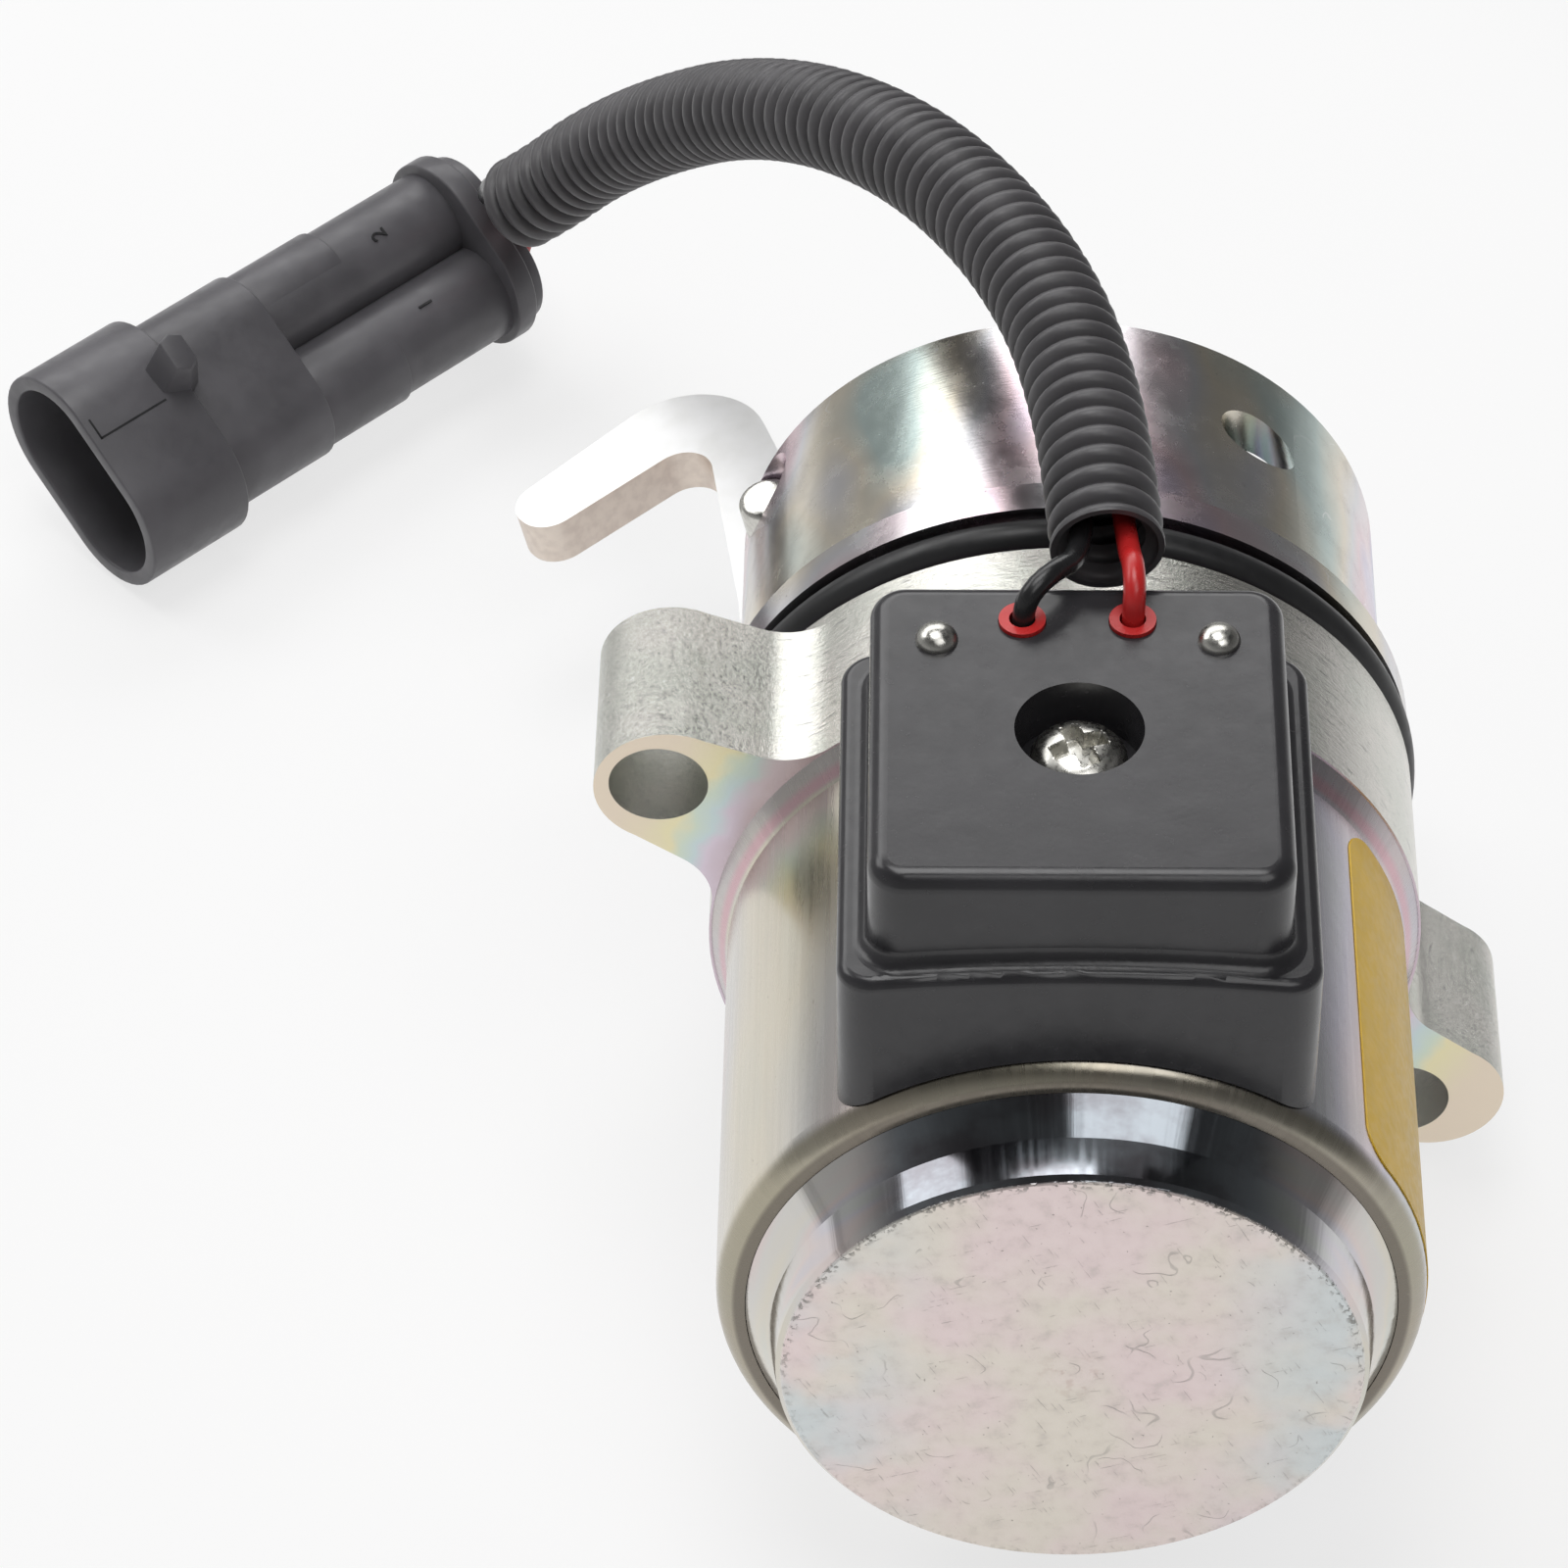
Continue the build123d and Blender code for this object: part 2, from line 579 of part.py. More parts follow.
def terminal_cover():
    """The moulded cover: a box on a crowned ledge, hollow, with a saddle under it."""
    base = BARREL_RADIUS / 2
    centre = Pos(0, COVER_CENTRE, base)
    ledge = centre * extrude(
        RectangleRounded(LEDGE_WIDTH, LEDGE_LENGTH, COVER_CORNER), LEDGE_HEIGHT - base
    )
    crown_plane = Plane(
        origin=(0, COVER_CENTRE - LEDGE_LENGTH, LEDGE_HEIGHT - LEDGE_CROWN_RADIUS),
        x_dir=(1, 0, 0),
        z_dir=(0, 1, 0),
    )
    ledge &= extrude(crown_plane * Circle(LEDGE_CROWN_RADIUS), 2 * LEDGE_LENGTH)
    ledge = fillet(ledge.faces().sort_by(Axis.Z)[-1].edges(), LEDGE_EDGE)
    box = centre * extrude(
        RectangleRounded(COVER_WIDTH, COVER_LENGTH, COVER_CORNER), COVER_TOP - base
    )
    box = fillet(box.faces().sort_by(Axis.Z)[-1].edges(), COVER_EDGE)
    cover = ledge + box
    roots = [
        edge
        for edge in cover.edges()
        if abs(edge.center().X) < COVER_WIDTH / 2 + 0.1
        and abs(edge.center().Y - COVER_CENTRE) < COVER_LENGTH / 2 + 0.1
        and abs(edge.center().Z - LEDGE_HEIGHT) < LEDGE_ROOT_FILLET
    ]
    cover = fillet(roots, LEDGE_ROOT_FILLET)
    cavity = centre * extrude(
        RectangleRounded(
            COVER_WIDTH - 2 * COVER_WALL, COVER_LENGTH - 2 * COVER_WALL, COVER_INNER_CORNER
        ),
        COVER_TOP - COVER_WALL - base,
    )
    cavity -= upright(0, COVER_CENTRE, SCREW_BOSS_RADIUS, base, COVER_TOP)
    cover -= cavity
    cover -= disc(BARREL_RADIUS + SEAT_CLEARANCE, BARREL_REAR - 1, FLANGE_REAR)
    cover -= upright(0, COVER_CENTRE, RECESS_RADIUS, COVER_FLOOR, COVER_TOP + 1)
    cover -= upright(0, COVER_CENTRE, SCREW_RADIUS + SEAT_CLEARANCE, base, COVER_TOP)
    for side in (-1, 1):
        pin_place = (side * PIN_OFFSET, COVER_CENTRE + PIN_FORWARD)
        cover -= upright(*pin_place, PIN_RADIUS + SEAT_CLEARANCE, COVER_FLOOR, COVER_TOP + 1)
        sleeve_place = (side * SLEEVE_OFFSET, COVER_CENTRE + SLEEVE_FORWARD)
        cover -= upright(*sleeve_place, SLEEVE_RADIUS + SEAT_CLEARANCE, COVER_FLOOR, COVER_TOP + 1)
    return cover


def terminal_board():
    """The insulating board in the cover, on the crest of the barrel, that carries the pins."""
    width = COVER_WIDTH - 2 * COVER_WALL - 2 * SLIDE_CLEARANCE
    length = COVER_LENGTH - 2 * COVER_WALL - 2 * SLIDE_CLEARANCE
    outline = RectangleRounded(width, length, COVER_INNER_CORNER)
    outline -= Circle(SCREW_BOSS_RADIUS + SLIDE_CLEARANCE)
    for side in (-1, 1):
        outline -= Pos(side * PIN_OFFSET, PIN_FORWARD) * Circle(PIN_RADIUS)
    return Pos(0, COVER_CENTRE, BOARD_UNDERSIDE) * extrude(outline, BOARD_THICKNESS)


def terminal_pins():
    """Two riveted pins from the board to the cover's top, where their round heads show."""
    pins = []
    for side in (-1, 1):
        x = side * PIN_OFFSET
        y = COVER_CENTRE + PIN_FORWARD
        shank = upright(x, y, PIN_RADIUS, BOARD_UNDERSIDE, COVER_TOP)
        head = upright(x, y, PIN_HEAD_RADIUS, COVER_TOP, COVER_TOP + PIN_HEAD_HEIGHT)
        head = fillet(head.edges().sort_by(Axis.Z)[-1], PIN_HEAD_HEIGHT - 0.1)
        pins.append(shank + head)
    return Compound(children=pins)


def cover_screw():
    """The pan head screw that holds the cover down on the barrel."""
    top = COVER_FLOOR + SCREW_HEAD_HEIGHT
    head = upright(0, COVER_CENTRE, SCREW_HEAD_RADIUS, COVER_FLOOR, top)
    head = fillet(head.edges().sort_by(Axis.Z)[-1], SCREW_HEAD_HEIGHT / 2)
    arm = Rectangle(SCREW_CROSS_WIDTH, SCREW_CROSS_LENGTH)
    for turn in (0, 90):
        place = Pos(0, COVER_CENTRE, top - SCREW_CROSS_DEPTH)
        head -= place * extrude(Rot(0, 0, turn) * arm, 2 * SCREW_CROSS_DEPTH)
    shank = upright(0, COVER_CENTRE, SCREW_RADIUS, BARREL_BORE + SCREW_TIP_CLEARANCE, COVER_FLOOR)
    return head + shank


def red_sleeve(side):
    """A sleeve over a wire where it comes through the cover's top."""
    top = COVER_TOP + SLEEVE_PROUD
    x = side * SLEEVE_OFFSET
    y = COVER_CENTRE + SLEEVE_FORWARD
    tube = upright(x, y, SLEEVE_RADIUS, top - SLEEVE_LENGTH, top)
    tube -= upright(x, y, WIRE_RADIUS + WIRE_CLEARANCE, top - SLEEVE_LENGTH, top)
    return tube


def yellow_label():
    """The blank label, a skin with round corners that wraps the barrel's right side."""
    half = LABEL_LENGTH / 2
    skin = ring(
        BARREL_RADIUS + LABEL_LIFT,
        BARREL_RADIUS + LABEL_LIFT + LABEL_THICKNESS,
        LABEL_CENTRE - half,
        LABEL_CENTRE + half,
    )
    angle = math.radians(LABEL_MIDDLE_ANGLE)
    chord = 2 * BARREL_RADIUS * math.sin(math.radians(LABEL_SPAN / 2))
    plane = Plane(
        origin=(0, LABEL_CENTRE, 0),
        x_dir=(0, 1, 0),
        z_dir=(math.sin(angle), 0, math.cos(angle)),
    )
    window = plane * RectangleRounded(LABEL_LENGTH, chord, LABEL_CORNER)
    return skin & extrude(window, BARREL_RADIUS + 1)


def corner_radii(route):
    """The radius at each corner: 0.45 of the shorter run over the tangent of half the turn."""
    points = [Vector(*p) for p in route]
    radii = []
    for before, here, after in zip(points, points[1:], points[2:]):
        run_in = here - before
        run_out = after - here
        half_turn = math.radians(run_in.get_angle(run_out)) / 2
        radii.append(0.45 * min(run_in.length, run_out.length) / math.tan(half_turn))
    return radii


def tube(name, route, radius, bore=0):
    """A tube along straight runs joined by tangent arcs. It prints the radii of its arcs."""
    radii = corner_radii(route)
    print(name, "radii", [round(r, 1) for r in radii])
    path = FilletPolyline(*route, radius=radii)
    print(name, "length", round(path.length, 1))
    section = Circle(radius)
    if bore:
        section -= Circle(bore)
    solid = sweep(Plane(origin=path @ 0, z_dir=path % 0) * section, path)
    print(name, "volume", round(solid.volume, 1), "section x length", round(section.area * path.length, 1))
    return solid


def in_connector(sketch, start, length):
    """Extrude a sketch in the connector's frame, from a depth behind its mouth."""
    return extrude(CONNECTOR_PLANE * Pos(0, 0, start) * sketch, length)


def oval(width, height):
    """The oval section with full round ends."""
    return SlotOverall(width, height)


def cavity_place(side, depth):
    """A point on the line of one of the two terminal cavities."""
    return CONNECTOR_PLANE.from_local_coords(Vector(side * CAVITY_SPACING / 2, 0, depth))


def connector_housing():
    """The moulded housing: open shroud, neck with a latch nub, two cavities, rear flange."""
    body = in_connector(oval(SHROUD_WIDTH, SHROUD_HEIGHT), 0, SHROUD_LENGTH)
    body += in_connector(oval(NECK_WIDTH, NECK_HEIGHT), NECK_START, NECK_LENGTH)
    for side in (-1, 1):
        tube_round = Pos(side * CAVITY_SPACING / 2, 0) * Circle(CAVITY_RADIUS)
        body += in_connector(tube_round, CAVITY_START, CAVITY_LENGTH)
    body += in_connector(oval(FLANGE_OVAL_WIDTH, FLANGE_OVAL_HEIGHT), OVAL_START, FLANGE_OVAL_LENGTH)
    body += in_connector(oval(REAR_CAP_WIDTH, REAR_CAP_HEIGHT), CAP_START, REAR_CAP_LENGTH)
    mouth = oval(SHROUD_WIDTH - 2 * SHROUD_WALL, SHROUD_HEIGHT - 2 * SHROUD_WALL)
    body -= in_connector(mouth, 0, SHROUD_DEPTH)
    nub = Pos(0, -NECK_HEIGHT / 2) * Rectangle(LATCH_WIDTH, 2 * LATCH_RISE)
    body += in_connector(nub, NECK_START + LATCH_SETBACK, LATCH_LENGTH)
    for side in (-1, 1):
        place = Pos(side * CAVITY_SPACING / 2, 0)
        plug_seat = place * Circle(SEAL_PLUG_RADIUS + SEAT_CLEARANCE)
        body -= in_connector(plug_seat, CONNECTOR_LENGTH - SEAL_PLUG_DEPTH, SEAL_PLUG_DEPTH)
        blade_hole = place * Rectangle(BLADE_WIDTH, BLADE_THICKNESS)
        body -= in_connector(blade_hole, SHROUD_DEPTH, CONNECTOR_LENGTH - SHROUD_DEPTH)
    return body


def wire_seal(side):
    """The rubber seal in one cavity, with the hole for its wire."""
    place = Pos(side * CAVITY_SPACING / 2, 0)
    section = place * (Circle(SEAL_PLUG_RADIUS) - Circle(WIRE_RADIUS + WIRE_CLEARANCE))
    start = CONNECTOR_LENGTH - SEAL_PLUG_DEPTH
    return in_connector(section, start, SEAL_PLUG_DEPTH + SEAL_PLUG_PROUD)


def contact_blades():
    """The two male blades that stand in the shroud and run back to the wires."""
    blades = []
    for side in (-1, 1):
        section = Pos(side * CAVITY_SPACING / 2, 0) * Rectangle(BLADE_WIDTH, BLADE_THICKNESS)
        blades.append(in_connector(section, BLADE_START, BLADE_LENGTH))
    return Compound(children=blades)


def wire_route(start, shift, side, turn):
    """One wire from its sleeve through the conduit, shifted sideways, to its cavity."""
    middle = [(x + shift, y, z) for x, y, z in CONDUIT_ROUTE[1:-1]]
    end = cavity_place(side, CONNECTOR_LENGTH - WIRE_SEAT_DEPTH)
    return start + middle + turn + [(end.X, end.Y, end.Z)]


def write_parts():
    """Build every piece and write it to its own file."""
    parts = {
        "barrel": barrel(),
        "end_plug": end_plug(),
        "mounting_flange": mounting_flange(),
        "front_collar": front_collar(),
        "o_ring": o_ring(),
        "coil_bobbin": coil_bobbin(),
        "coil_winding": coil_winding(),
        "guide_tube": guide_tube(),
        "fixed_pole": fixed_pole(),
        "armature": armature(),
        "push_rod": push_rod(),
        "rod_bush": rod_bush(),
        "return_spring": return_spring(),
        "link_pin": link_pin(),
        "pivot_pin": pivot_pin(),
        "hook_lever": hook_lever(),
        "terminal_cover": terminal_cover(),
        "terminal_board": terminal_board(),
        "terminal_pins": terminal_pins(),
        "cover_screw": cover_screw(),
        "left_sleeve": red_sleeve(-1),
        "right_sleeve": red_sleeve(1),
        "yellow_label": yellow_label(),
        "conduit": tube("conduit", CONDUIT_ROUTE, CONDUIT_RADIUS, CONDUIT_BORE_RADIUS),
        "black_wire": tube(
            "black_wire", wire_route(BLACK_WIRE_START, -WIRE_SPREAD, -1, BLACK_WIRE_TURN), WIRE_RADIUS
        ),
        "red_wire": tube(
            "red_wire", wire_route(RED_WIRE_START, WIRE_SPREAD, 1, RED_WIRE_TURN), WIRE_RADIUS
        ),
        "connector_housing": connector_housing(),
        "left_wire_seal": wire_seal(-1),
        "right_wire_seal": wire_seal(1),
        "contact_blades": contact_blades(),
    }
    os.makedirs("parts", exist_ok=True)
    for name, solid in parts.items():
        export_step(solid, f"parts/{name}.step")
        print(name, round(solid.volume, 1))


write_parts()
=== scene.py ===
"""A fuel shutoff solenoid with its conduit and connector, dressed for a studio picture.

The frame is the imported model: metres, +Z up, +Y from the end plug towards the hook.
Most CAD solids stay as they are and get their finishes here. The conduit, the two wires,
the connector's body and the cover's screw are modelled again where their solids lie, and
the two terminal pins get domed heads.
"""
import json
import math

import bmesh
import bpy
from mathutils import Matrix, Vector

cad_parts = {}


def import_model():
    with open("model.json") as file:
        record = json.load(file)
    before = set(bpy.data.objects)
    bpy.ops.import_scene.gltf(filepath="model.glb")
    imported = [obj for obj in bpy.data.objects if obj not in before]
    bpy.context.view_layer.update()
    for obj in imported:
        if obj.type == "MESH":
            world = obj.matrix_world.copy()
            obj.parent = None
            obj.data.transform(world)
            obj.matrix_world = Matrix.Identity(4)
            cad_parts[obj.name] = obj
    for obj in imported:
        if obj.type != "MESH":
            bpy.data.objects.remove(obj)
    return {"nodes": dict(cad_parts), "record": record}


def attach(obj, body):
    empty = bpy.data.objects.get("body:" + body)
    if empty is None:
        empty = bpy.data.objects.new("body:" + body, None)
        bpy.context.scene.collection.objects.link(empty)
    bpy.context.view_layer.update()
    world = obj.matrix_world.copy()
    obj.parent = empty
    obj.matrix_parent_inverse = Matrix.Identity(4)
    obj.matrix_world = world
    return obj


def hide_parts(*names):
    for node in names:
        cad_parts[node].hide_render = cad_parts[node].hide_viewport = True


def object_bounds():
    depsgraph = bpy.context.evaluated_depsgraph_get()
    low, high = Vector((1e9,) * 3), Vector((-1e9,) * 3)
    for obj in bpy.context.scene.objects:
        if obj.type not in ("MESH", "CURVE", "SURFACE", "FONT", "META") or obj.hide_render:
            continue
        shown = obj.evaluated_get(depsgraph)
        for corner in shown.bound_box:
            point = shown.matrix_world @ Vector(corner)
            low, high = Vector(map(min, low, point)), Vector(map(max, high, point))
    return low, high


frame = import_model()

CAD_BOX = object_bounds()
NODES = frame["nodes"]
MM = 0.001

# Sizes shared with the solids, in millimetres
BARREL_REAR = -65.4
PLUG_FACE = -72.4
PLUG_FACE_RADIUS = 24.2
BARREL_RADIUS = 30.0
COVER_TOP = 48.8
COVER_CENTRE = -44.9
PIN_OFFSET = 11.6
PIN_FORWARD = 10.3
PIN_DOME_RADIUS = 1.78
PIN_DOME_HEIGHT = 1.3
LEVER_TILT = math.radians(12)
WIRE_RADIUS = 0.95
WIRE_SPREAD = 1.5
WIRE_SEAT_DEPTH = 1.5
CONDUIT_RADIUS = 4.85
CONDUIT_ROUTE = [
    (2.6, -24.9, 50.0),
    (2.2, -18.2, 50.5),
    (1.1, -7.1, 50.5),
    (-1.3, 5.2, 50.0),
    (-6.1, 18.9, 48.0),
    (-13.1, 33.5, 44.0),
    (-21.3, 47.4, 37.5),
    (-29.8, 60.7, 28.0),
    (-38.2, 72.8, 16.0),
    (-45.8, 82.0, 4.7),
    (-51.2, 85.2, -2.6),
    (-54.3, 86.8, -5.9),
]
BLACK_WIRE_START = [
    (-4.55, -32.4, 47.2),
    (-4.5, -32.25, 49.8),
    (-3.8, -31.5, 51.4),
    (-1.9, -29.5, 51.9),
    (0.3, -27.2, 51.2),
]
RED_WIRE_START = [
    (4.55, -32.4, 47.2),
    (4.6, -32.25, 49.8),
    (4.7, -31.2, 51.5),
    (4.6, -28.8, 52.0),
    (4.3, -26.6, 51.2),
]
BLACK_WIRE_TURN = [
    (-58.3, 89.6, -8.0),
    (-58.0, 97.0, -11.2),
    (-55.6, 102.0, -16.5),
    (-56.9, 104.3, -18.3),
    (-60.0, 104.1, -18.34),
]
RED_WIRE_TURN = [
    (-56.2, 89.0, -9.0),
    (-55.6, 93.4, -12.5),
    (-54.6, 98.2, -16.5),
    (-55.0, 98.9, -21.5),
    (-56.4, 97.0, -23.4),
]
CONNECTOR_MOUTH = Vector((-98.3, 60.9, -21.1))
CONNECTOR_HEADING = Vector((-0.711, -0.703, 0)).normalized()
CONNECTOR_ROLL = math.radians(36)
CONNECTOR_LENGTH = 55.0
CAVITY_SPACING = 9.4
CAVITY_RADIUS = 5.2
SHROUD_WIDTH = 24.6
SHROUD_HEIGHT = 15.8
SHROUD_LENGTH = 12.5
SHROUD_WALL = 1.6
SHROUD_DEPTH = 11.0
NECK_WIDTH = 21.4
NECK_HEIGHT = 12.6
NECK_END = 25.5
# The rear flange and the step behind it: width, height, and the depths where each starts and ends
REAR_OVALS = [(21.6, 15.0, 51.0, 53.2), (19.6, 12.6, 53.2, 55.0)]
OVAL_STEPS = 24
MOULD_EDGE = 0.25
MOULD_EDGE_STEPS = 3
MOULD_EDGE_ANGLE = math.radians(40)
# How far the connector's bodies reach into each other
NECK_OVERLAP = 0.5
TUBE_OVERLAP = 1.0
REAR_OVERLAP = 0.3
# The latch nub: corners of its foot and of its top as (x along the oval, depth behind the mouth)
NUB_FOOT = [(-4.9, 8.6), (-1.9, 8.9), (-0.5, 12.4), (-1.8, 14.6), (-4.9, 14.6), (-6.4, 12.2)]
NUB_TOP = [(-6.6, 10.6), (-3.3, 10.6), (-2.6, 12.0), (-3.2, 13.3), (-6.3, 13.3), (-7.0, 12.0)]
NUB_HEIGHT = 3.4
SEAM_WIDTH = 0.22
SEAM_RISE = 0.03
SEAM_SINK = 0.1
SEAM_SIDE = -1.75
SEAM_FAR_SIDE = -4.0
SEAM_START = 0.9
SEAM_END = 9.4
STEP_END = 36.5
STEP_RISE = 0.35
# The numbers on the cavities: text, side of the connector, and lean round the cavity
NUMBERS = [("2", -1, math.radians(-7)), ("1", 1, math.radians(-15))]
NUMBER_HEIGHT = 2.5
NUMBER_DEPTH = 41.8
NUMBER_RELIEF = 0.16

# The cover's screw, in millimetres
SCREW_FLOOR = 43.8
SCREW_HEAD_RADIUS = 4.05
SCREW_RIM = 1.3
SCREW_DOME = 2.1
SCREW_DOME_POWER = 2.4
SCREW_HEAD_SEAT = 0.05
SCREW_SHANK_RADIUS = 2.0
SCREW_SHANK_END = 27.7
CROSS_TURN = math.radians(24)
CROSS_REACH = 2.45
CROSS_HALF_WIDTH = 0.72
CROSS_ROUNDING = 0.10
CROSS_WALL_SLOPE = 0.22
CROSS_END_SLOPE = 0.55
CROSS_DEPTH = 1.5

# The photograph's camera, in millimetres
CAMERA_PLACE = Vector((-12.77, -399.33, 398.54))
CAMERA_RIGHT = Vector((0.9997, 0.0189, -0.0128))
CAMERA_UP = Vector((-0.0044, 0.7089, 0.7053))
CAMERA_LENS = 141.05
SENSOR_WIDTH = 36.0

# Conduit corrugation, in millimetres
RIB_PITCH = 2.25
RIB_DEPTH = 1.05
RIB_VALLEY = 0.16
CONDUIT_WALL = 0.5
RINGS_PER_RIB = 12
CONDUIT_SIDES = 36

# Floor and studio, in metres
FLOOR_RADIUS = 3.0
FLOOR_SIDES = 64
FLOOR_DROP = 0.0002
FLOOR_GLOW = 0.72
# The painted pool of light on the floor: its middle, and the distances where it starts and ends to fall off
PAINTED_POOL_CENTRE = (-0.14, -0.06)
PAINTED_POOL_INNER = 0.26
PAINTED_POOL_OUTER = 0.62
PAINTED_POOL_EDGE_LEVEL = 0.38
# Brightness of the studio by the sine of the height above the horizon
SKY = [(0.0, 0.42), (0.3, 0.34), (0.5, 0.24), (0.7, 0.10), (1.0, 0.07)]
# It falls off from left to right, between these two places, to this share
SIDE_FALL = 0.7
RIGHT_SIDE_LEVEL = 0.4
# Softboxes: name, direction from the object, distance, width, height, and brightness where 1 is white
SOFTBOXES = [
    ("back_box", (-0.14, 0.77, 0.62), 1.1, 1.1, 0.5, 2.8),
    ("left_box", (-0.70, 0.36, 0.62), 1.1, 0.5, 0.45, 3.0),
    ("right_box", (0.28, -0.43, 0.855), 1.0, 0.52, 0.5, 2.3),
    ("overhead", (-0.05, 0.12, 1.0), 0.95, 0.5, 0.5, 4.6),
]


def camera():
    """The camera at the photograph's place, with its lens."""
    data = bpy.data.cameras.new("camera")
    data.sensor_width = SENSOR_WIDTH
    data.lens = CAMERA_LENS
    data.clip_start = 0.01
    data.clip_end = 100
    made = bpy.data.objects.new("camera", data)
    bpy.context.scene.collection.objects.link(made)
    right = CAMERA_RIGHT.normalized()
    back = right.cross(CAMERA_UP).normalized()
    up = back.cross(right)
    turn = Matrix((right, up, back)).transposed()
    made.matrix_world = Matrix.Translation(CAMERA_PLACE * MM) @ turn.to_4x4()
    bpy.context.scene.camera = made


def connector_point(x, y, depth):
    """A point in the connector's frame: x along the oval, y across it, depth behind the mouth."""
    level = Vector((-CONNECTOR_HEADING.y, CONNECTOR_HEADING.x, 0))
    long_side = level * math.cos(CONNECTOR_ROLL) - Vector((0, 0, math.sin(CONNECTOR_ROLL)))
    short_side = (-CONNECTOR_HEADING).cross(long_side)
    return CONNECTOR_MOUTH + long_side * x + short_side * y - CONNECTOR_HEADING * depth


def nurbs(name, route, radius=0.0):
    """A curve object with the route's points as control points, in metres."""
    curve = bpy.data.curves.new(name, "CURVE")
    curve.dimensions = "3D"
    curve.resolution_u = 24
    curve.bevel_depth = radius * MM
    curve.bevel_resolution = 6
    curve.use_fill_caps = True
    spline = curve.splines.new("NURBS")
    spline.points.add(len(route) - 1)
    for point, place in zip(spline.points, route):
        point.co = (*(Vector(place) * MM), 1)
    spline.order_u = 3
    spline.use_endpoint_u = True
    made = bpy.data.objects.new(name, curve)
    bpy.context.scene.collection.objects.link(made)
    return made


def line_of(name, route, step):
    """Points a given step apart along the route's spline."""
    guide = nurbs(name, route)
    mesh = bpy.data.meshes.new_from_object(guide)
    raw = [v.co.copy() for v in mesh.vertices]
    bpy.data.objects.remove(guide)
    bpy.data.meshes.remove(mesh)
    reach = [0.0]
    for before, after in zip(raw, raw[1:]):
        reach.append(reach[-1] + (after - before).length)
    count = round(reach[-1] / step)
    points = []
    k = 0
    for i in range(count + 1):
        target = reach[-1] * i / count
        while k < len(raw) - 2 and reach[k + 1] < target:
            k += 1
        share = (target - reach[k]) / max(reach[k + 1] - reach[k], 1e-12)
        points.append(raw[k].lerp(raw[k + 1], share))
    return points


def mesh_object(name, points, faces, smooth=True):
    """A new mesh object in the scene."""
    mesh = bpy.data.meshes.new(name)
    mesh.from_pydata(points, [], faces)
    mesh.validate()
    if smooth:
        mesh.shade_smooth()
    made = bpy.data.objects.new(name, mesh)
    bpy.context.scene.collection.objects.link(made)
    return made


def rib_height(turn):
    """How far a rib stands out at this share of its pitch: a round crest and a narrow valley."""
    across = (turn % 1.0) * 2 - 1
    crest = across / (1 - RIB_VALLEY)
    return math.sqrt(max(0.0, 1 - crest * crest))


def corrugated_conduit(finish):
    """The corrugated tube: ribs outside, the same ribs inside, and an open end with its wall showing."""
    step = RIB_PITCH / RINGS_PER_RIB * MM
    path = line_of("conduit_line", CONDUIT_ROUTE, step)
    normal = None
    rings_out = []
    rings_in = []
    for i, centre in enumerate(path):
        ahead = path[min(i + 1, len(path) - 1)] - path[max(i - 1, 0)]
        ahead.normalize()
        if normal is None:
            normal = Vector((0, 0, 1))
        normal = (normal - ahead * normal.dot(ahead)).normalized()
        side = ahead.cross(normal)
        outer = CONDUIT_RADIUS - RIB_DEPTH * (1 - rib_height(i / RINGS_PER_RIB + 0.35))
        for ring, radius in ((rings_out, outer), (rings_in, outer - CONDUIT_WALL)):
            ring.append([
                centre + (normal * math.cos(t) + side * math.sin(t)) * radius * MM
                for t in (2 * math.pi * k / CONDUIT_SIDES for k in range(CONDUIT_SIDES))
            ])
    points = [p for ring in rings_out + rings_in for p in ring]
    count = len(path)
    faces = []

    def quad(a, b, k, flip):
        j = (k + 1) % CONDUIT_SIDES
        face = (a + k, a + j, b + j, b + k)
        faces.append(face[::-1] if flip else face)

    for k in range(CONDUIT_SIDES):
        for i in range(count - 1):
            quad(i * CONDUIT_SIDES, (i + 1) * CONDUIT_SIDES, k, False)
            quad((count + i) * CONDUIT_SIDES, (count + i + 1) * CONDUIT_SIDES, k, True)
        quad(0, count * CONDUIT_SIDES, k, True)
        quad((count - 1) * CONDUIT_SIDES, (2 * count - 1) * CONDUIT_SIDES, k, False)
    made = mesh_object("corrugated_conduit", points, faces)
    made.data.set_sharp_from_angle(angle=math.radians(70))
    made.data.materials.append(finish)
    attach(made, "root")
    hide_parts("conduit")


def wire(name, node, start, shift, turn, side, finish):
    """One insulated wire from its sleeve, through the conduit, into its cavity."""
    middle = [(x + shift, y, z) for x, y, z in CONDUIT_ROUTE[1:-1]]
    end = connector_point(side * CAVITY_SPACING / 2, 0, CONNECTOR_LENGTH - WIRE_SEAT_DEPTH)
    route = start + middle + turn + [tuple(end)]
    made = nurbs(name, route, WIRE_RADIUS)
    made.data.materials.append(finish)
    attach(made, "root")
    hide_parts(node)
    path = line_of(name + "_line", route, 0.5 * MM)


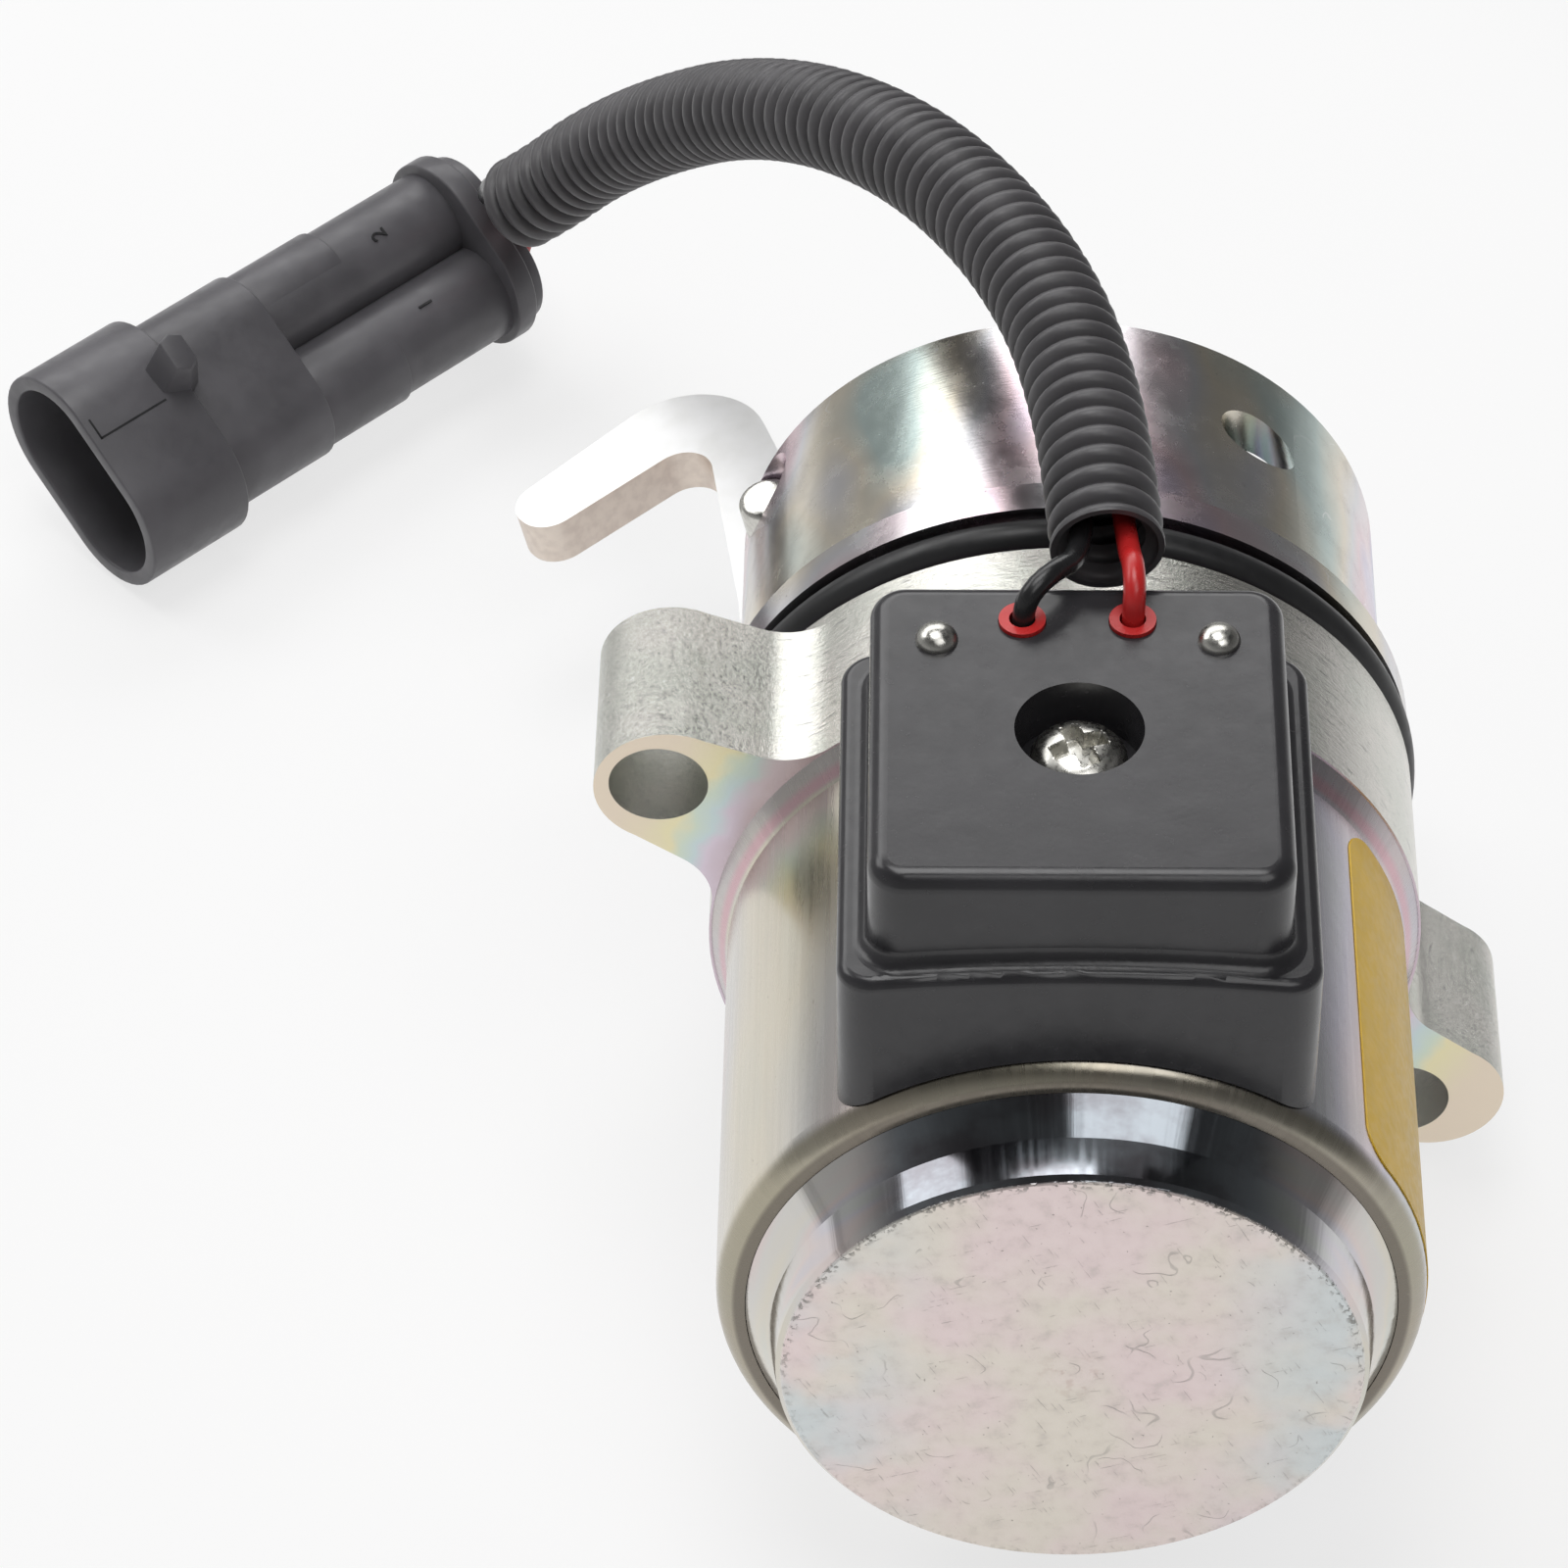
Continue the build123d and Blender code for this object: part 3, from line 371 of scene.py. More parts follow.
class Finish:
    """A material being made: each method adds a node and gives its output."""

    def __init__(self, name, metallic=0.0, roughness=0.5):
        self.material = bpy.data.materials.new(name)
        self.material.use_nodes = True
        self.tree = self.material.node_tree
        self.shader = self.tree.nodes["Principled BSDF"]
        self.spot = None
        self.set("Metallic", metallic)
        self.set("Roughness", roughness)

    def set(self, socket, value):
        """Set or link one socket of the shader."""
        self.feed(self.shader.inputs[socket], value)

    def feed(self, socket, value):
        """Give a socket a value, or link it to an output."""
        if isinstance(value, bpy.types.NodeSocket):
            self.tree.links.new(value, socket)
        else:
            socket.default_value = value

    def node(self, kind, inputs=None, **settings):
        """Add a node with its settings and its inputs by number."""
        made = self.tree.nodes.new("ShaderNode" + kind)
        for key, value in settings.items():
            setattr(made, key, value)
        for number, value in (inputs or {}).items():
            self.feed(made.inputs[number], value)
        return made

    def where(self):
        """The place on the object, in millimetres."""
        if self.spot is None:
            coordinates = self.node("TexCoord").outputs["Object"]
            scaled = self.node("VectorMath", {0: coordinates, 1: (1000, 1000, 1000)}, operation="MULTIPLY")
            self.spot = scaled.outputs[0]
        return self.spot

    def axes(self):
        """The three coordinates, in millimetres."""
        return self.node("SeparateXYZ", {0: self.where()}).outputs

    def normal_along(self, direction):
        """How far the surface faces a direction, from -1 to 1."""
        normal = self.node("TexCoord").outputs["Normal"]
        return self.node("VectorMath", {0: normal, 1: direction}, operation="DOT_PRODUCT").outputs["Value"]

    def calc(self, operation, a, b=0.0):
        """Arithmetic on two numbers."""
        return self.node("Math", {0: a, 1: b}, operation=operation).outputs[0]

    def radius(self):
        """The distance from the barrel's axis, in millimetres."""
        x, _, z = self.axes()
        return self.calc("SQRT", self.calc("ADD", self.calc("MULTIPLY", x, x), self.calc("MULTIPLY", z, z)))

    def round_the_axis(self, along, radial, around):
        """Coordinates for turned parts: bands of these sizes in mm, and around as a count per turn."""
        x, y, z = self.axes()
        angle = self.calc("ARCTAN2", x, z)
        parts = {
            0: self.calc("MULTIPLY", angle, around / (2 * math.pi)),
            1: self.calc("DIVIDE", y, along),
            2: self.calc("DIVIDE", self.radius(), radial),
        }
        return self.node("CombineXYZ", parts).outputs[0]

    def noise(self, size=1.0, stretch=(1, 1, 1), detail=3.0, roughness=0.5, turn=0.0, at=None, shift=0.0):
        """Noise with features of about this size in mm, longer by stretch, turned about Y."""
        if at is None:
            scale = tuple(1 / (size * s) for s in stretch)
            place = self.node("VectorRotate", {0: self.where(), 3: turn}, rotation_type="Y_AXIS")
            at = self.node("Mapping", {0: place.outputs[0], 1: (shift, shift, shift), 3: scale}).outputs[0]
        made = self.node("TexNoise", {0: at})
        made.inputs["Scale"].default_value = 1.0
        made.inputs["Detail"].default_value = detail
        made.inputs["Roughness"].default_value = roughness
        return made.outputs[0]

    def span(self, value, low, high, to_low=0.0, to_high=1.0):
        """Map a range smoothly to another, held at its ends."""
        inputs = {0: value, 1: low, 2: high, 3: to_low, 4: to_high}
        return self.node("MapRange", inputs, interpolation_type="SMOOTHSTEP").outputs[0]

    def ramp(self, value, stops):
        """Colours along a value."""
        made = self.node("ValToRGB", {0: value})
        band = made.color_ramp
        while len(band.elements) < len(stops):
            band.elements.new(0.5)
        for element, (place, colour) in zip(band.elements, stops):
            element.position = place
            element.color = (*colour, 1)
        return made.outputs[0]

    def between(self, share, a, b):
        """A number between two others."""
        return self.node("Mix", {0: share, 2: a, 3: b}, data_type="FLOAT").outputs[0]

    def mix(self, share, a, b):
        """Mix two colours."""
        made = self.node("Mix", data_type="RGBA")
        self.feed(made.inputs[0], share)
        for number, colour in ((6, a), (7, b)):
            self.feed(made.inputs[number], (*colour, 1) if isinstance(colour, tuple) else colour)
        return made.outputs[2]

    def bump(self, *layers):
        """Stack heights, each (value, depth in mm), into the shader's normal."""
        normal = None
        for value, depth in layers:
            made = self.node("Bump")
            made.inputs["Strength"].default_value = 1.0
            made.inputs["Distance"].default_value = depth * MM
            self.feed(made.inputs["Height"], value)
            if normal is not None:
                self.feed(made.inputs["Normal"], normal)
            normal = made.outputs[0]
        self.set("Normal", normal)

    def scratches(self, size, length, threshold, turns):
        """Fine straight scratches in several directions, from 0 to 1."""
        total = None
        for number, turn in enumerate(turns):
            streak = self.noise(size, (1, 1, length), detail=1.0, turn=turn, shift=17.3 * number)
            mark = self.span(streak, threshold, threshold + 0.03)
            total = mark if total is None else self.calc("MAXIMUM", total, mark)
        return total


# Yellow passivate over zinc shifts between straw, pink, blue and green
STRAW = (0.66, 0.61, 0.50)
PINK = (0.67, 0.555, 0.54)
VIOLET = (0.55, 0.53, 0.61)
GREEN = (0.52, 0.57, 0.515)
PALE = (0.61, 0.595, 0.57)

# The barrel's marks, and the painted shade in the gap at its rear edge
WORN_ZINC = (0.55, 0.55, 0.51)
OLIVE_RIM = (0.36, 0.33, 0.25)
PAINTED_GAP_SHADE = (0.16, 0.14, 0.12)
FLARE_GREY = (0.50, 0.47, 0.49)
FLARE_PINK = (0.66, 0.40, 0.45)
BROWN_SPECK = (0.30, 0.27, 0.22)

# The plug's face, and the painted dark reflection on the step and cone behind it
FACE_ROSE = (0.80, 0.685, 0.675)
FACE_CREAM = (0.775, 0.72, 0.645)
FACE_BLUE = (0.67, 0.71, 0.715)
FACE_MOTTLE = (0.60, 0.56, 0.53)
FACE_SCRATCH = (0.31, 0.30, 0.28)
FACE_SPECK = (0.30, 0.27, 0.24)
FACE_RUST = (0.50, 0.36, 0.31)
BURR_AND_SHADE_GREY = (0.25, 0.24, 0.22)
PAINTED_REFLECTION_BLUE = (0.27, 0.295, 0.32)
PAINTED_REFLECTION_DARK = (0.17, 0.165, 0.18)

# The flange's rough sides, and the rings of colour on its flat faces from the barrel outwards
FORGED = (0.66, 0.665, 0.61)
FORGED_WARM = (0.72, 0.70, 0.655)
FORGED_PIT = (0.28, 0.29, 0.28)
PAINTED_GLINT = (0.90, 0.90, 0.88)
BRUSHED_LINE = (0.36, 0.36, 0.34)
FLAT_RINGS = [
    (0.00, (0.60, 0.50, 0.55)),
    (0.12, (0.66, 0.58, 0.66)),
    (0.25, (0.56, 0.66, 0.67)),
    (0.42, (0.60, 0.68, 0.58)),
    (0.58, (0.76, 0.70, 0.46)),
    (0.75, (0.75, 0.68, 0.48)),
    (1.00, (0.74, 0.64, 0.52)),
]


def passivate(finish, value, strength=1.0):
    """The play of colours over a value from 0 to 1, washed out towards plain zinc."""
    stops = [(0.30, GREEN), (0.40, STRAW), (0.48, PALE), (0.55, PINK), (0.62, VIOLET), (0.72, GREEN)]
    washed = [
        (place, tuple(p + (c - p) * strength for c, p in zip(colour, PALE)))
        for place, colour in stops
    ]
    return finish.ramp(value, washed)


def barrel_zinc():
    """Drawn tube: satin, streaked along its length, with an olive rim and a pink flare."""
    f = Finish("barrel_zinc", metallic=1.0)
    bands = f.noise(at=f.round_the_axis(90, 60, 7), detail=2.0)
    colour = passivate(f, bands, 0.9)
    mottle = f.noise(5, (1, 2.5, 1), detail=4)
    colour = f.mix(f.span(mottle, 0.45, 0.75, 0, 0.30), colour, WORN_ZINC)
    y = f.axes()[1]
    rim = f.span(y, BARREL_REAR + 2.2, BARREL_REAR + 1.1)
    colour = f.mix(f.calc("MULTIPLY", rim, 0.85), colour, OLIVE_RIM)
    # A thin dark band at the very rear edge, next to the plug: painted shade in the gap
    gap_shade = f.span(y, BARREL_REAR + 0.30, BARREL_REAR + 0.10)
    colour = f.mix(f.calc("MULTIPLY", gap_shade, 0.8), colour, PAINTED_GAP_SHADE)
    flare = f.span(f.radius(), BARREL_RADIUS + 0.05, BARREL_RADIUS + 0.35)
    flare_start = f.calc("MULTIPLY", flare, f.span(f.radius(), BARREL_RADIUS + 1.0, BARREL_RADIUS + 0.5))
    colour = f.mix(f.calc("MULTIPLY", flare, 0.6), colour, FLARE_GREY)
    colour = f.mix(f.calc("MULTIPLY", flare_start, 0.7), colour, FLARE_PINK)
    specks = f.noise(0.5, detail=1.0)
    colour = f.mix(f.span(specks, 0.74, 0.80, 0, 0.4), colour, BROWN_SPECK)
    f.set("Base Color", colour)
    streaks = f.noise(at=f.round_the_axis(18, 18, 330), detail=3)
    f.set("Roughness", f.span(streaks, 0.3, 0.7, 0.24, 0.30))
    f.bump((streaks, 0.004), (f.noise(2.4, detail=2), 0.012))
    return f.material


def hairlines(f, size, thin, shift):
    """Thin curved scratches: contour lines of a noise, broken up by another one."""
    contour = f.calc("ABSOLUTE", f.calc("SUBTRACT", f.noise(size, detail=2.5, shift=shift), 0.5))
    broken = f.span(f.noise(size * 0.55, detail=2, shift=shift + 30), 0.56, 0.63)
    return f.calc("MULTIPLY", f.span(contour, thin, thin * 0.3), broken)


def plug_zinc():
    """The plug: a dull, scratched face with a burred edge, darker at its top as painted shade, and a step
    and cone behind it with a painted dark reflection over top and bottom.
    """
    f = Finish("plug_zinc", metallic=1.0)
    face = f.span(f.axes()[1], PLUG_FACE + 0.25, PLUG_FACE + 0.05)
    x, _, z = f.axes()
    clouds = f.noise(14, detail=3, roughness=0.55)
    rosy = f.mix(f.span(clouds, 0.38, 0.62), FACE_ROSE, FACE_CREAM)
    outer = f.span(f.calc("ABSOLUTE", x), 9, 23)
    bluish = f.calc("MULTIPLY", outer, f.span(f.noise(10, detail=3, shift=6), 0.36, 0.60))
    face_colour = f.mix(bluish, rosy, FACE_BLUE)
    mottle = f.noise(1.6, detail=5, roughness=0.65)
    face_colour = f.mix(f.span(mottle, 0.52, 0.8, 0, 0.45), face_colour, FACE_MOTTLE)
    marks = f.calc("MAXIMUM", hairlines(f, 13.0, 0.004, 0), hairlines(f, 8.0, 0.004, 11))
    straight = f.calc("MULTIPLY", f.scratches(0.16, 22, 0.72, (0.5, 1.9)), f.span(mottle, 0.45, 0.6))
    marks = f.calc("MAXIMUM", marks, straight)
    specks = f.span(f.noise(0.45, detail=1.0, shift=5), 0.74, 0.79)
    middle = f.span(f.radius(), 4.0, 1.0)
    rust = f.calc("MULTIPLY", middle, f.span(f.noise(0.9, detail=3, shift=9), 0.50, 0.66))
    face_colour = f.mix(f.calc("MULTIPLY", marks, 0.4), face_colour, FACE_SCRATCH)
    face_colour = f.mix(f.calc("MULTIPLY", specks, 0.6), face_colour, FACE_SPECK)
    face_colour = f.mix(f.calc("MULTIPLY", rust, 0.30), face_colour, FACE_RUST)
    burr_and_top_shade = f.calc(
        "MULTIPLY",
        f.span(f.radius(), PLUG_FACE_RADIUS - 0.8, PLUG_FACE_RADIUS - 0.1),
        f.span(f.noise(0.5, detail=4, shift=3), 0.52, 0.62),
    )
    # The burr's dark colour is kept mostly to the top of the edge: partly a real burr, partly painted shade
    burr_and_top_shade = f.calc("MULTIPLY", burr_and_top_shade, f.span(z, -6, 10, 0.25, 1.0))
    face_colour = f.mix(f.calc("MULTIPLY", burr_and_top_shade, 0.75), face_colour, BURR_AND_SHADE_GREY)
    side_colour = passivate(f, f.noise(at=f.round_the_axis(6, 6, 5), detail=2), 0.6)
    # The step and cone are dark over their top and bottom and keep the passivate colours at the sides: a
    # painted dark reflection
    dark_cloud = f.noise(at=f.round_the_axis(8, 8, 14), detail=5, roughness=0.6)
    painted_dark_reflection = f.mix(f.span(dark_cloud, 0.40, 0.62), PAINTED_REFLECTION_BLUE, PAINTED_REFLECTION_DARK)
    side_colour = f.mix(f.span(f.calc("ABSOLUTE", x), 19, 14), side_colour, painted_dark_reflection)
    f.set("Base Color", f.mix(face, side_colour, face_colour))
    drawn = f.noise(at=f.round_the_axis(25, 25, 260), detail=3)
    dull = f.span(mottle, 0.3, 0.75, 0.42, 0.56)
    glossy = f.span(drawn, 0.35, 0.7, 0.09, 0.16)
    f.set("Roughness", f.between(face, glossy, dull))
    side = f.calc("SUBTRACT", 1.0, face)
    rings = f.calc("SINE", f.calc("MULTIPLY", f.radius(), 2 * math.pi / 0.55))
    rings = f.calc("MULTIPLY", rings, f.span(f.radius(), 3.2, 2.0))
    f.bump(
        (f.calc("MULTIPLY", drawn, side), 0.006),
        (f.calc("MULTIPLY", mottle, face), 0.04),
        (f.calc("MULTIPLY", f.calc("ADD", marks, specks), face), -0.03),
        (f.calc("MULTIPLY", rings, face), 0.012),
        (f.calc("MULTIPLY", burr_and_top_shade, face), 0.08),
    )
    return f.material


def flange_forging():
    """The flange: grainy on its ears, brushed near the body, pastel rings of colour on its flat faces."""
    f = Finish("flange_forging", metallic=1.0)
    flat = f.span(f.calc("ABSOLUTE", f.normal_along((0, 1, 0))), 0.75, 0.9)
    clouds = f.noise(7, detail=3)
    grain = f.noise(0.42, detail=5, roughness=0.75)
    brushed = f.noise(0.35, (6, 1, 6), detail=4, roughness=0.6)
    ear = f.span(f.radius(), BARREL_RADIUS + 3.5, BARREL_RADIUS + 6.5)
    rough_colour = f.mix(f.span(clouds, 0.35, 0.65), FORGED, FORGED_WARM)
    speckle = f.calc("MULTIPLY", f.span(grain, 0.46, 0.34), ear)
    rough_colour = f.mix(f.calc("MULTIPLY", speckle, 0.7), rough_colour, FORGED_PIT)
    # Bright flecks on the ears' grain peaks: a painted glint
    painted_glints = f.calc("MULTIPLY", f.span(grain, 0.60, 0.70), ear)
    rough_colour = f.mix(painted_glints, rough_colour, PAINTED_GLINT)
    lines = f.calc("MULTIPLY", f.span(brushed, 0.42, 0.32), f.calc("SUBTRACT", 1.0, ear))
    rough_colour = f.mix(f.calc("MULTIPLY", lines, 0.55), rough_colour, BRUSHED_LINE)
    wobble = f.calc("MULTIPLY", f.calc("SUBTRACT", f.noise(5, detail=2, shift=4), 0.5), 5.0)
    ring = f.span(f.calc("ADD", f.radius(), wobble), BARREL_RADIUS + 0.5, BARREL_RADIUS + 13.0)
    f.set("Base Color", f.mix(flat, rough_colour, f.ramp(ring, FLAT_RINGS)))
    f.set("Roughness", f.between(flat, 0.27, 0.24))
    sides = f.calc("SUBTRACT", 1.0, f.calc("MULTIPLY", flat, 0.92))
    f.bump(
        (f.calc("MULTIPLY", f.calc("MULTIPLY", grain, sides), f.span(ear, 0, 1, 0.25, 1.0)), 0.20),
        (f.calc("MULTIPLY", brushed, sides), 0.05),
    )
    return f.material


def collar_zinc():
    """The turned collar: bright, with fine tool lines and a blue, pink and green cast."""
    f = Finish("collar_zinc", metallic=1.0)
    bands = f.noise(at=f.round_the_axis(38, 30, 9), detail=2.0)
    colour = f.mix(0.30, passivate(f, bands, 2.0), (0.60, 0.62, 0.74))
    stain = f.noise(3.5, detail=5, roughness=0.65)
    colour = f.mix(f.span(stain, 0.60, 0.75, 0, 0.35), colour, (0.40, 0.38, 0.36))
    specks = f.span(f.noise(0.4, detail=1.0), 0.75, 0.80)
    colour = f.mix(f.calc("MULTIPLY", specks, 0.5), colour, (0.16, 0.15, 0.14))
    scuffed = hairlines(f, 9.0, 0.004, 21)
    colour = f.mix(f.calc("MULTIPLY", scuffed, 0.5), colour, (0.80, 0.80, 0.80))
    f.set("Base Color", colour)
    lines = f.noise(at=f.round_the_axis(0.16, 0.16, 2), detail=2.0)
    f.set("Roughness", f.span(stain, 0.35, 0.75, 0.21, 0.31))
    f.bump((lines, 0.006), (f.noise(2.5, detail=2), 0.012))
    return f.material


def lever_plate():
    """The hook lever: white plated faces and duller, straw coloured cut edges."""
    f = Finish("lever_plate")
    across = (-math.sin(LEVER_TILT), 0, math.cos(LEVER_TILT))
    edge = f.span(f.calc("ABSOLUTE", f.normal_along(across)), 0.85, 0.6)
    cloud = f.noise(4, detail=3)
    face_colour = f.mix(f.span(cloud, 0.35, 0.7), (0.90, 0.90, 0.90), (0.84, 0.84, 0.83))
    edge_colour = f.mix(f.span(f.noise(1.2, detail=4), 0.35, 0.7), (0.88, 0.78, 0.69), (0.78, 0.68, 0.60))
    f.set("Base Color", f.mix(edge, face_colour, edge_colour))
    f.set("Metallic", f.between(edge, 0.35, 0.55))
    f.set("Roughness", f.between(edge, 0.38, 0.42))
    shear = f.noise(0.25, (1, 1, 12), detail=2)
    f.bump((f.calc("MULTIPLY", shear, edge), 0.03), (f.noise(0.9, detail=3), 0.006))
    return f.material


def bright_metal(name, colour, roughness, grain):
    """A plain bright metal with fine marks."""
    f = Finish(name, metallic=1.0)
    cloud = f.noise(2.0, detail=3)
    darker = tuple(0.82 * c for c in colour)
    f.set("Base Color", f.mix(f.span(cloud, 0.35, 0.7), colour, darker))
    f.set("Roughness", f.span(f.noise(0.5, detail=4), 0.3, 0.7, roughness * 0.75, roughness * 1.3))
    f.bump((f.noise(grain, detail=3), 0.006))
    return f.material


def copper_winding():
    """Close turns of enamelled copper wire."""
    f = Finish("copper_winding", metallic=1.0, roughness=0.3)
    y = f.axes()[1]
    turn = f.calc("SINE", f.calc("MULTIPLY", y, 2 * math.pi / 0.6))
    # The colour is darker in the grooves between turns and lighter on their crests: painted shade and
    # painted highlight
    f.set("Base Color", f.mix(f.span(turn, -0.8, 0.6), (0.30, 0.10, 0.04), (0.78, 0.38, 0.17)))
    f.bump((turn, 0.08))
    return f.material


def moulded(name, colour, roughness, scuff_colour, scuffs=0.0, texture=0.010):
    """Moulded plastic: a faint texture, uneven gloss, and scuffs where asked."""
    f = Finish(name)
    cloud = f.noise(8, detail=3)
    lighter = tuple(min(1.0, 1.25 * c) for c in colour)
    base = f.mix(f.span(cloud, 0.35, 0.7), colour, lighter)
    if scuffs:
        marks = f.scratches(0.14, 16, 0.72, (0.7, 2.0))
        patches = f.span(f.noise(2.2, detail=4, shift=2), 0.60, 0.72)
        worn = f.calc("MULTIPLY", f.calc("MAXIMUM", marks, f.calc("MULTIPLY", patches, 0.4)), scuffs)
        base = f.mix(worn, base, scuff_colour)
    f.set("Base Color", base)
    f.set("Roughness", f.span(f.noise(1.5, detail=4), 0.3, 0.7, roughness * 0.85, roughness * 1.15))
    f.bump((f.noise(0.5, detail=4), texture), (f.noise(5, detail=1), 0.03))
    return f.material


def printed_label(name, colour):
    """A blank coated paper label."""
    f = Finish(name)
    cloud = f.noise(3, detail=4)
    f.set("Base Color", f.mix(f.span(cloud, 0.35, 0.7), colour, tuple(0.94 * c for c in colour)))
    f.set("Roughness", f.span(f.noise(0.8, detail=3), 0.3, 0.7, 0.34, 0.46))
    f.bump((f.noise(0.5, detail=3), 0.008))
    return f.material


def finishes():
    """One material for each slot of the record."""
    black = (0.030, 0.029, 0.032)
    return {
        "barrel_zinc": barrel_zinc(),
        "plug_zinc": plug_zinc(),
        "flange_forging": flange_forging(),
        "collar_zinc": collar_zinc(),
        "lever_plate": lever_plate(),
        "pin_steel": bright_metal("pin_steel", (0.62, 0.61, 0.57), 0.27, 0.3),
        "soft_iron": bright_metal("soft_iron", (0.42, 0.42, 0.42), 0.36, 0.4),
        "bronze": bright_metal("bronze", (0.66, 0.44, 0.20), 0.38, 0.3),
        "brass_tube": bright_metal("brass_tube", (0.78, 0.60, 0.28), 0.26, 0.5),
        "copper_winding": copper_winding(),
        "bobbin_plastic": moulded("bobbin_plastic", (0.72, 0.69, 0.58), 0.45, (0.8, 0.8, 0.8)),
        "cover_plastic": moulded("cover_plastic", black, 0.24, (0.08, 0.08, 0.085), 0.15, texture=0.005),
        "board_plastic": moulded("board_plastic", (0.26, 0.14, 0.06), 0.5, (0.4, 0.3, 0.2)),
        "seal_rubber": moulded("seal_rubber", (0.016, 0.016, 0.017), 0.38, (0.1, 0.1, 0.1)),
        "red_plastic": moulded("red_plastic", (0.50, 0.020, 0.020), 0.30, (0.8, 0.2, 0.2)),
        "black_insulation": moulded("black_insulation", (0.014, 0.014, 0.015), 0.26, (0.1, 0.1, 0.1)),
        "conduit_plastic": moulded("conduit_plastic", (0.070, 0.067, 0.071), 0.42, (0.1, 0.1, 0.1)),
        "connector_plastic": moulded(
            "connector_plastic", (0.094, 0.091, 0.099), 0.40, (0.14, 0.14, 0.15), 0.2, texture=0.012
        ),
        "label_yellow": printed_label("label_yellow", (0.80, 0.50, 0.03)),
    }


def dress_solids(made):
    """Give each CAD solid the material of its slot."""
    for sub in frame["record"]["subparts"]:
        mesh = NODES[sub["node"]].data
        mesh.materials.clear()
        mesh.materials.append(made[sub["material_slot"]])


def cavity_number(text, side, lean, finish):
    """A raised number on one cavity of the connector, with its top towards the mouth."""
    curve = bpy.data.curves.new("cavity_number_" + text, "FONT")
    curve.body = text
    curve.size = NUMBER_HEIGHT * MM
    curve.extrude = NUMBER_RELIEF * MM
    curve.align_x = "CENTER"
    curve.align_y = "CENTER"
    made = bpy.data.objects.new("cavity_number_" + text, curve)
    bpy.context.scene.collection.objects.link(made)
    across = math.sin(lean)
    above = -math.cos(lean)
    x = side * CAVITY_SPACING / 2 + CAVITY_RADIUS * across
    centre = connector_point(x, CAVITY_RADIUS * above, NUMBER_DEPTH)
    out = (connector_point(across, above, 0) - connector_point(0, 0, 0)).normalized()
    up = (connector_point(0, 0, -1) - connector_point(0, 0, 0)).normalized()
    turn = Matrix((up.cross(out), up, out)).transposed()
    made.matrix_world = Matrix.Translation(centre * MM) @ turn.to_4x4()
    curve.materials.append(finish)
    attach(made, "root")
    return made


def connector_box(name, x_span, y_span, depth_span):
    """A plain box in the connector's frame."""
    points = [connector_point(x, y, depth) * MM for x in x_span for y in y_span for depth in depth_span]
    faces = [(0, 1, 3, 2), (4, 6, 7, 5), (0, 4, 5, 1), (2, 3, 7, 6), (0, 2, 6, 4), (1, 5, 7, 3)]
    made = mesh_object(name, points, faces, smooth=False)
    made.data.update()
    volume = 0.0
    for face in made.data.polygons:
        a, b, c = (points[v] for v in face.vertices[:3])
        volume += a.cross(b).dot(c)
    if volume < 0:
        made.data.flip_normals()
    return made


def oval(width, height, depth, centre=0.0):
    """Points round an oval of the connector: two half rounds with straight sides between them."""
    radius = height / 2
    reach = (width - height) / 2
    points = []
    for side in (1, -1):
        for k in range(OVAL_STEPS + 1):
            angle = math.pi * k / OVAL_STEPS - side * math.pi / 2
            x = centre + side * reach + radius * math.cos(angle)
            points.append(connector_point(x, radius * math.sin(angle), depth) * MM)
    # A circle has no straight sides, so the two halves' shared points are there twice
    if reach == 0:
        del points[OVAL_STEPS], points[-1]
    return points


def moulded_prism(rings):
    """A closed body through rings of equal count, with its edges slightly rounded."""
    count = len(rings[0])
    points = [p for ring in rings for p in ring]
    faces = [tuple(reversed(range(count))), tuple(range((len(rings) - 1) * count, len(rings) * count))]
    for i in range(len(rings) - 1):
        for k in range(count):
            j = (k + 1) % count
            faces.append((i * count + k, i * count + j, (i + 1) * count + j, (i + 1) * count + k))
    made = mesh_object("prism", points, faces)
    edge = made.modifiers.new("edge", "BEVEL")
    edge.width = MOULD_EDGE * MM
    edge.segments = MOULD_EDGE_STEPS
    edge.limit_method = "ANGLE"
    edge.angle_limit = MOULD_EDGE_ANGLE
    depsgraph = bpy.context.evaluated_depsgraph_get()
    rounded = bpy.data.meshes.new_from_object(made.evaluated_get(depsgraph))
    bpy.data.objects.remove(made)
    return rounded


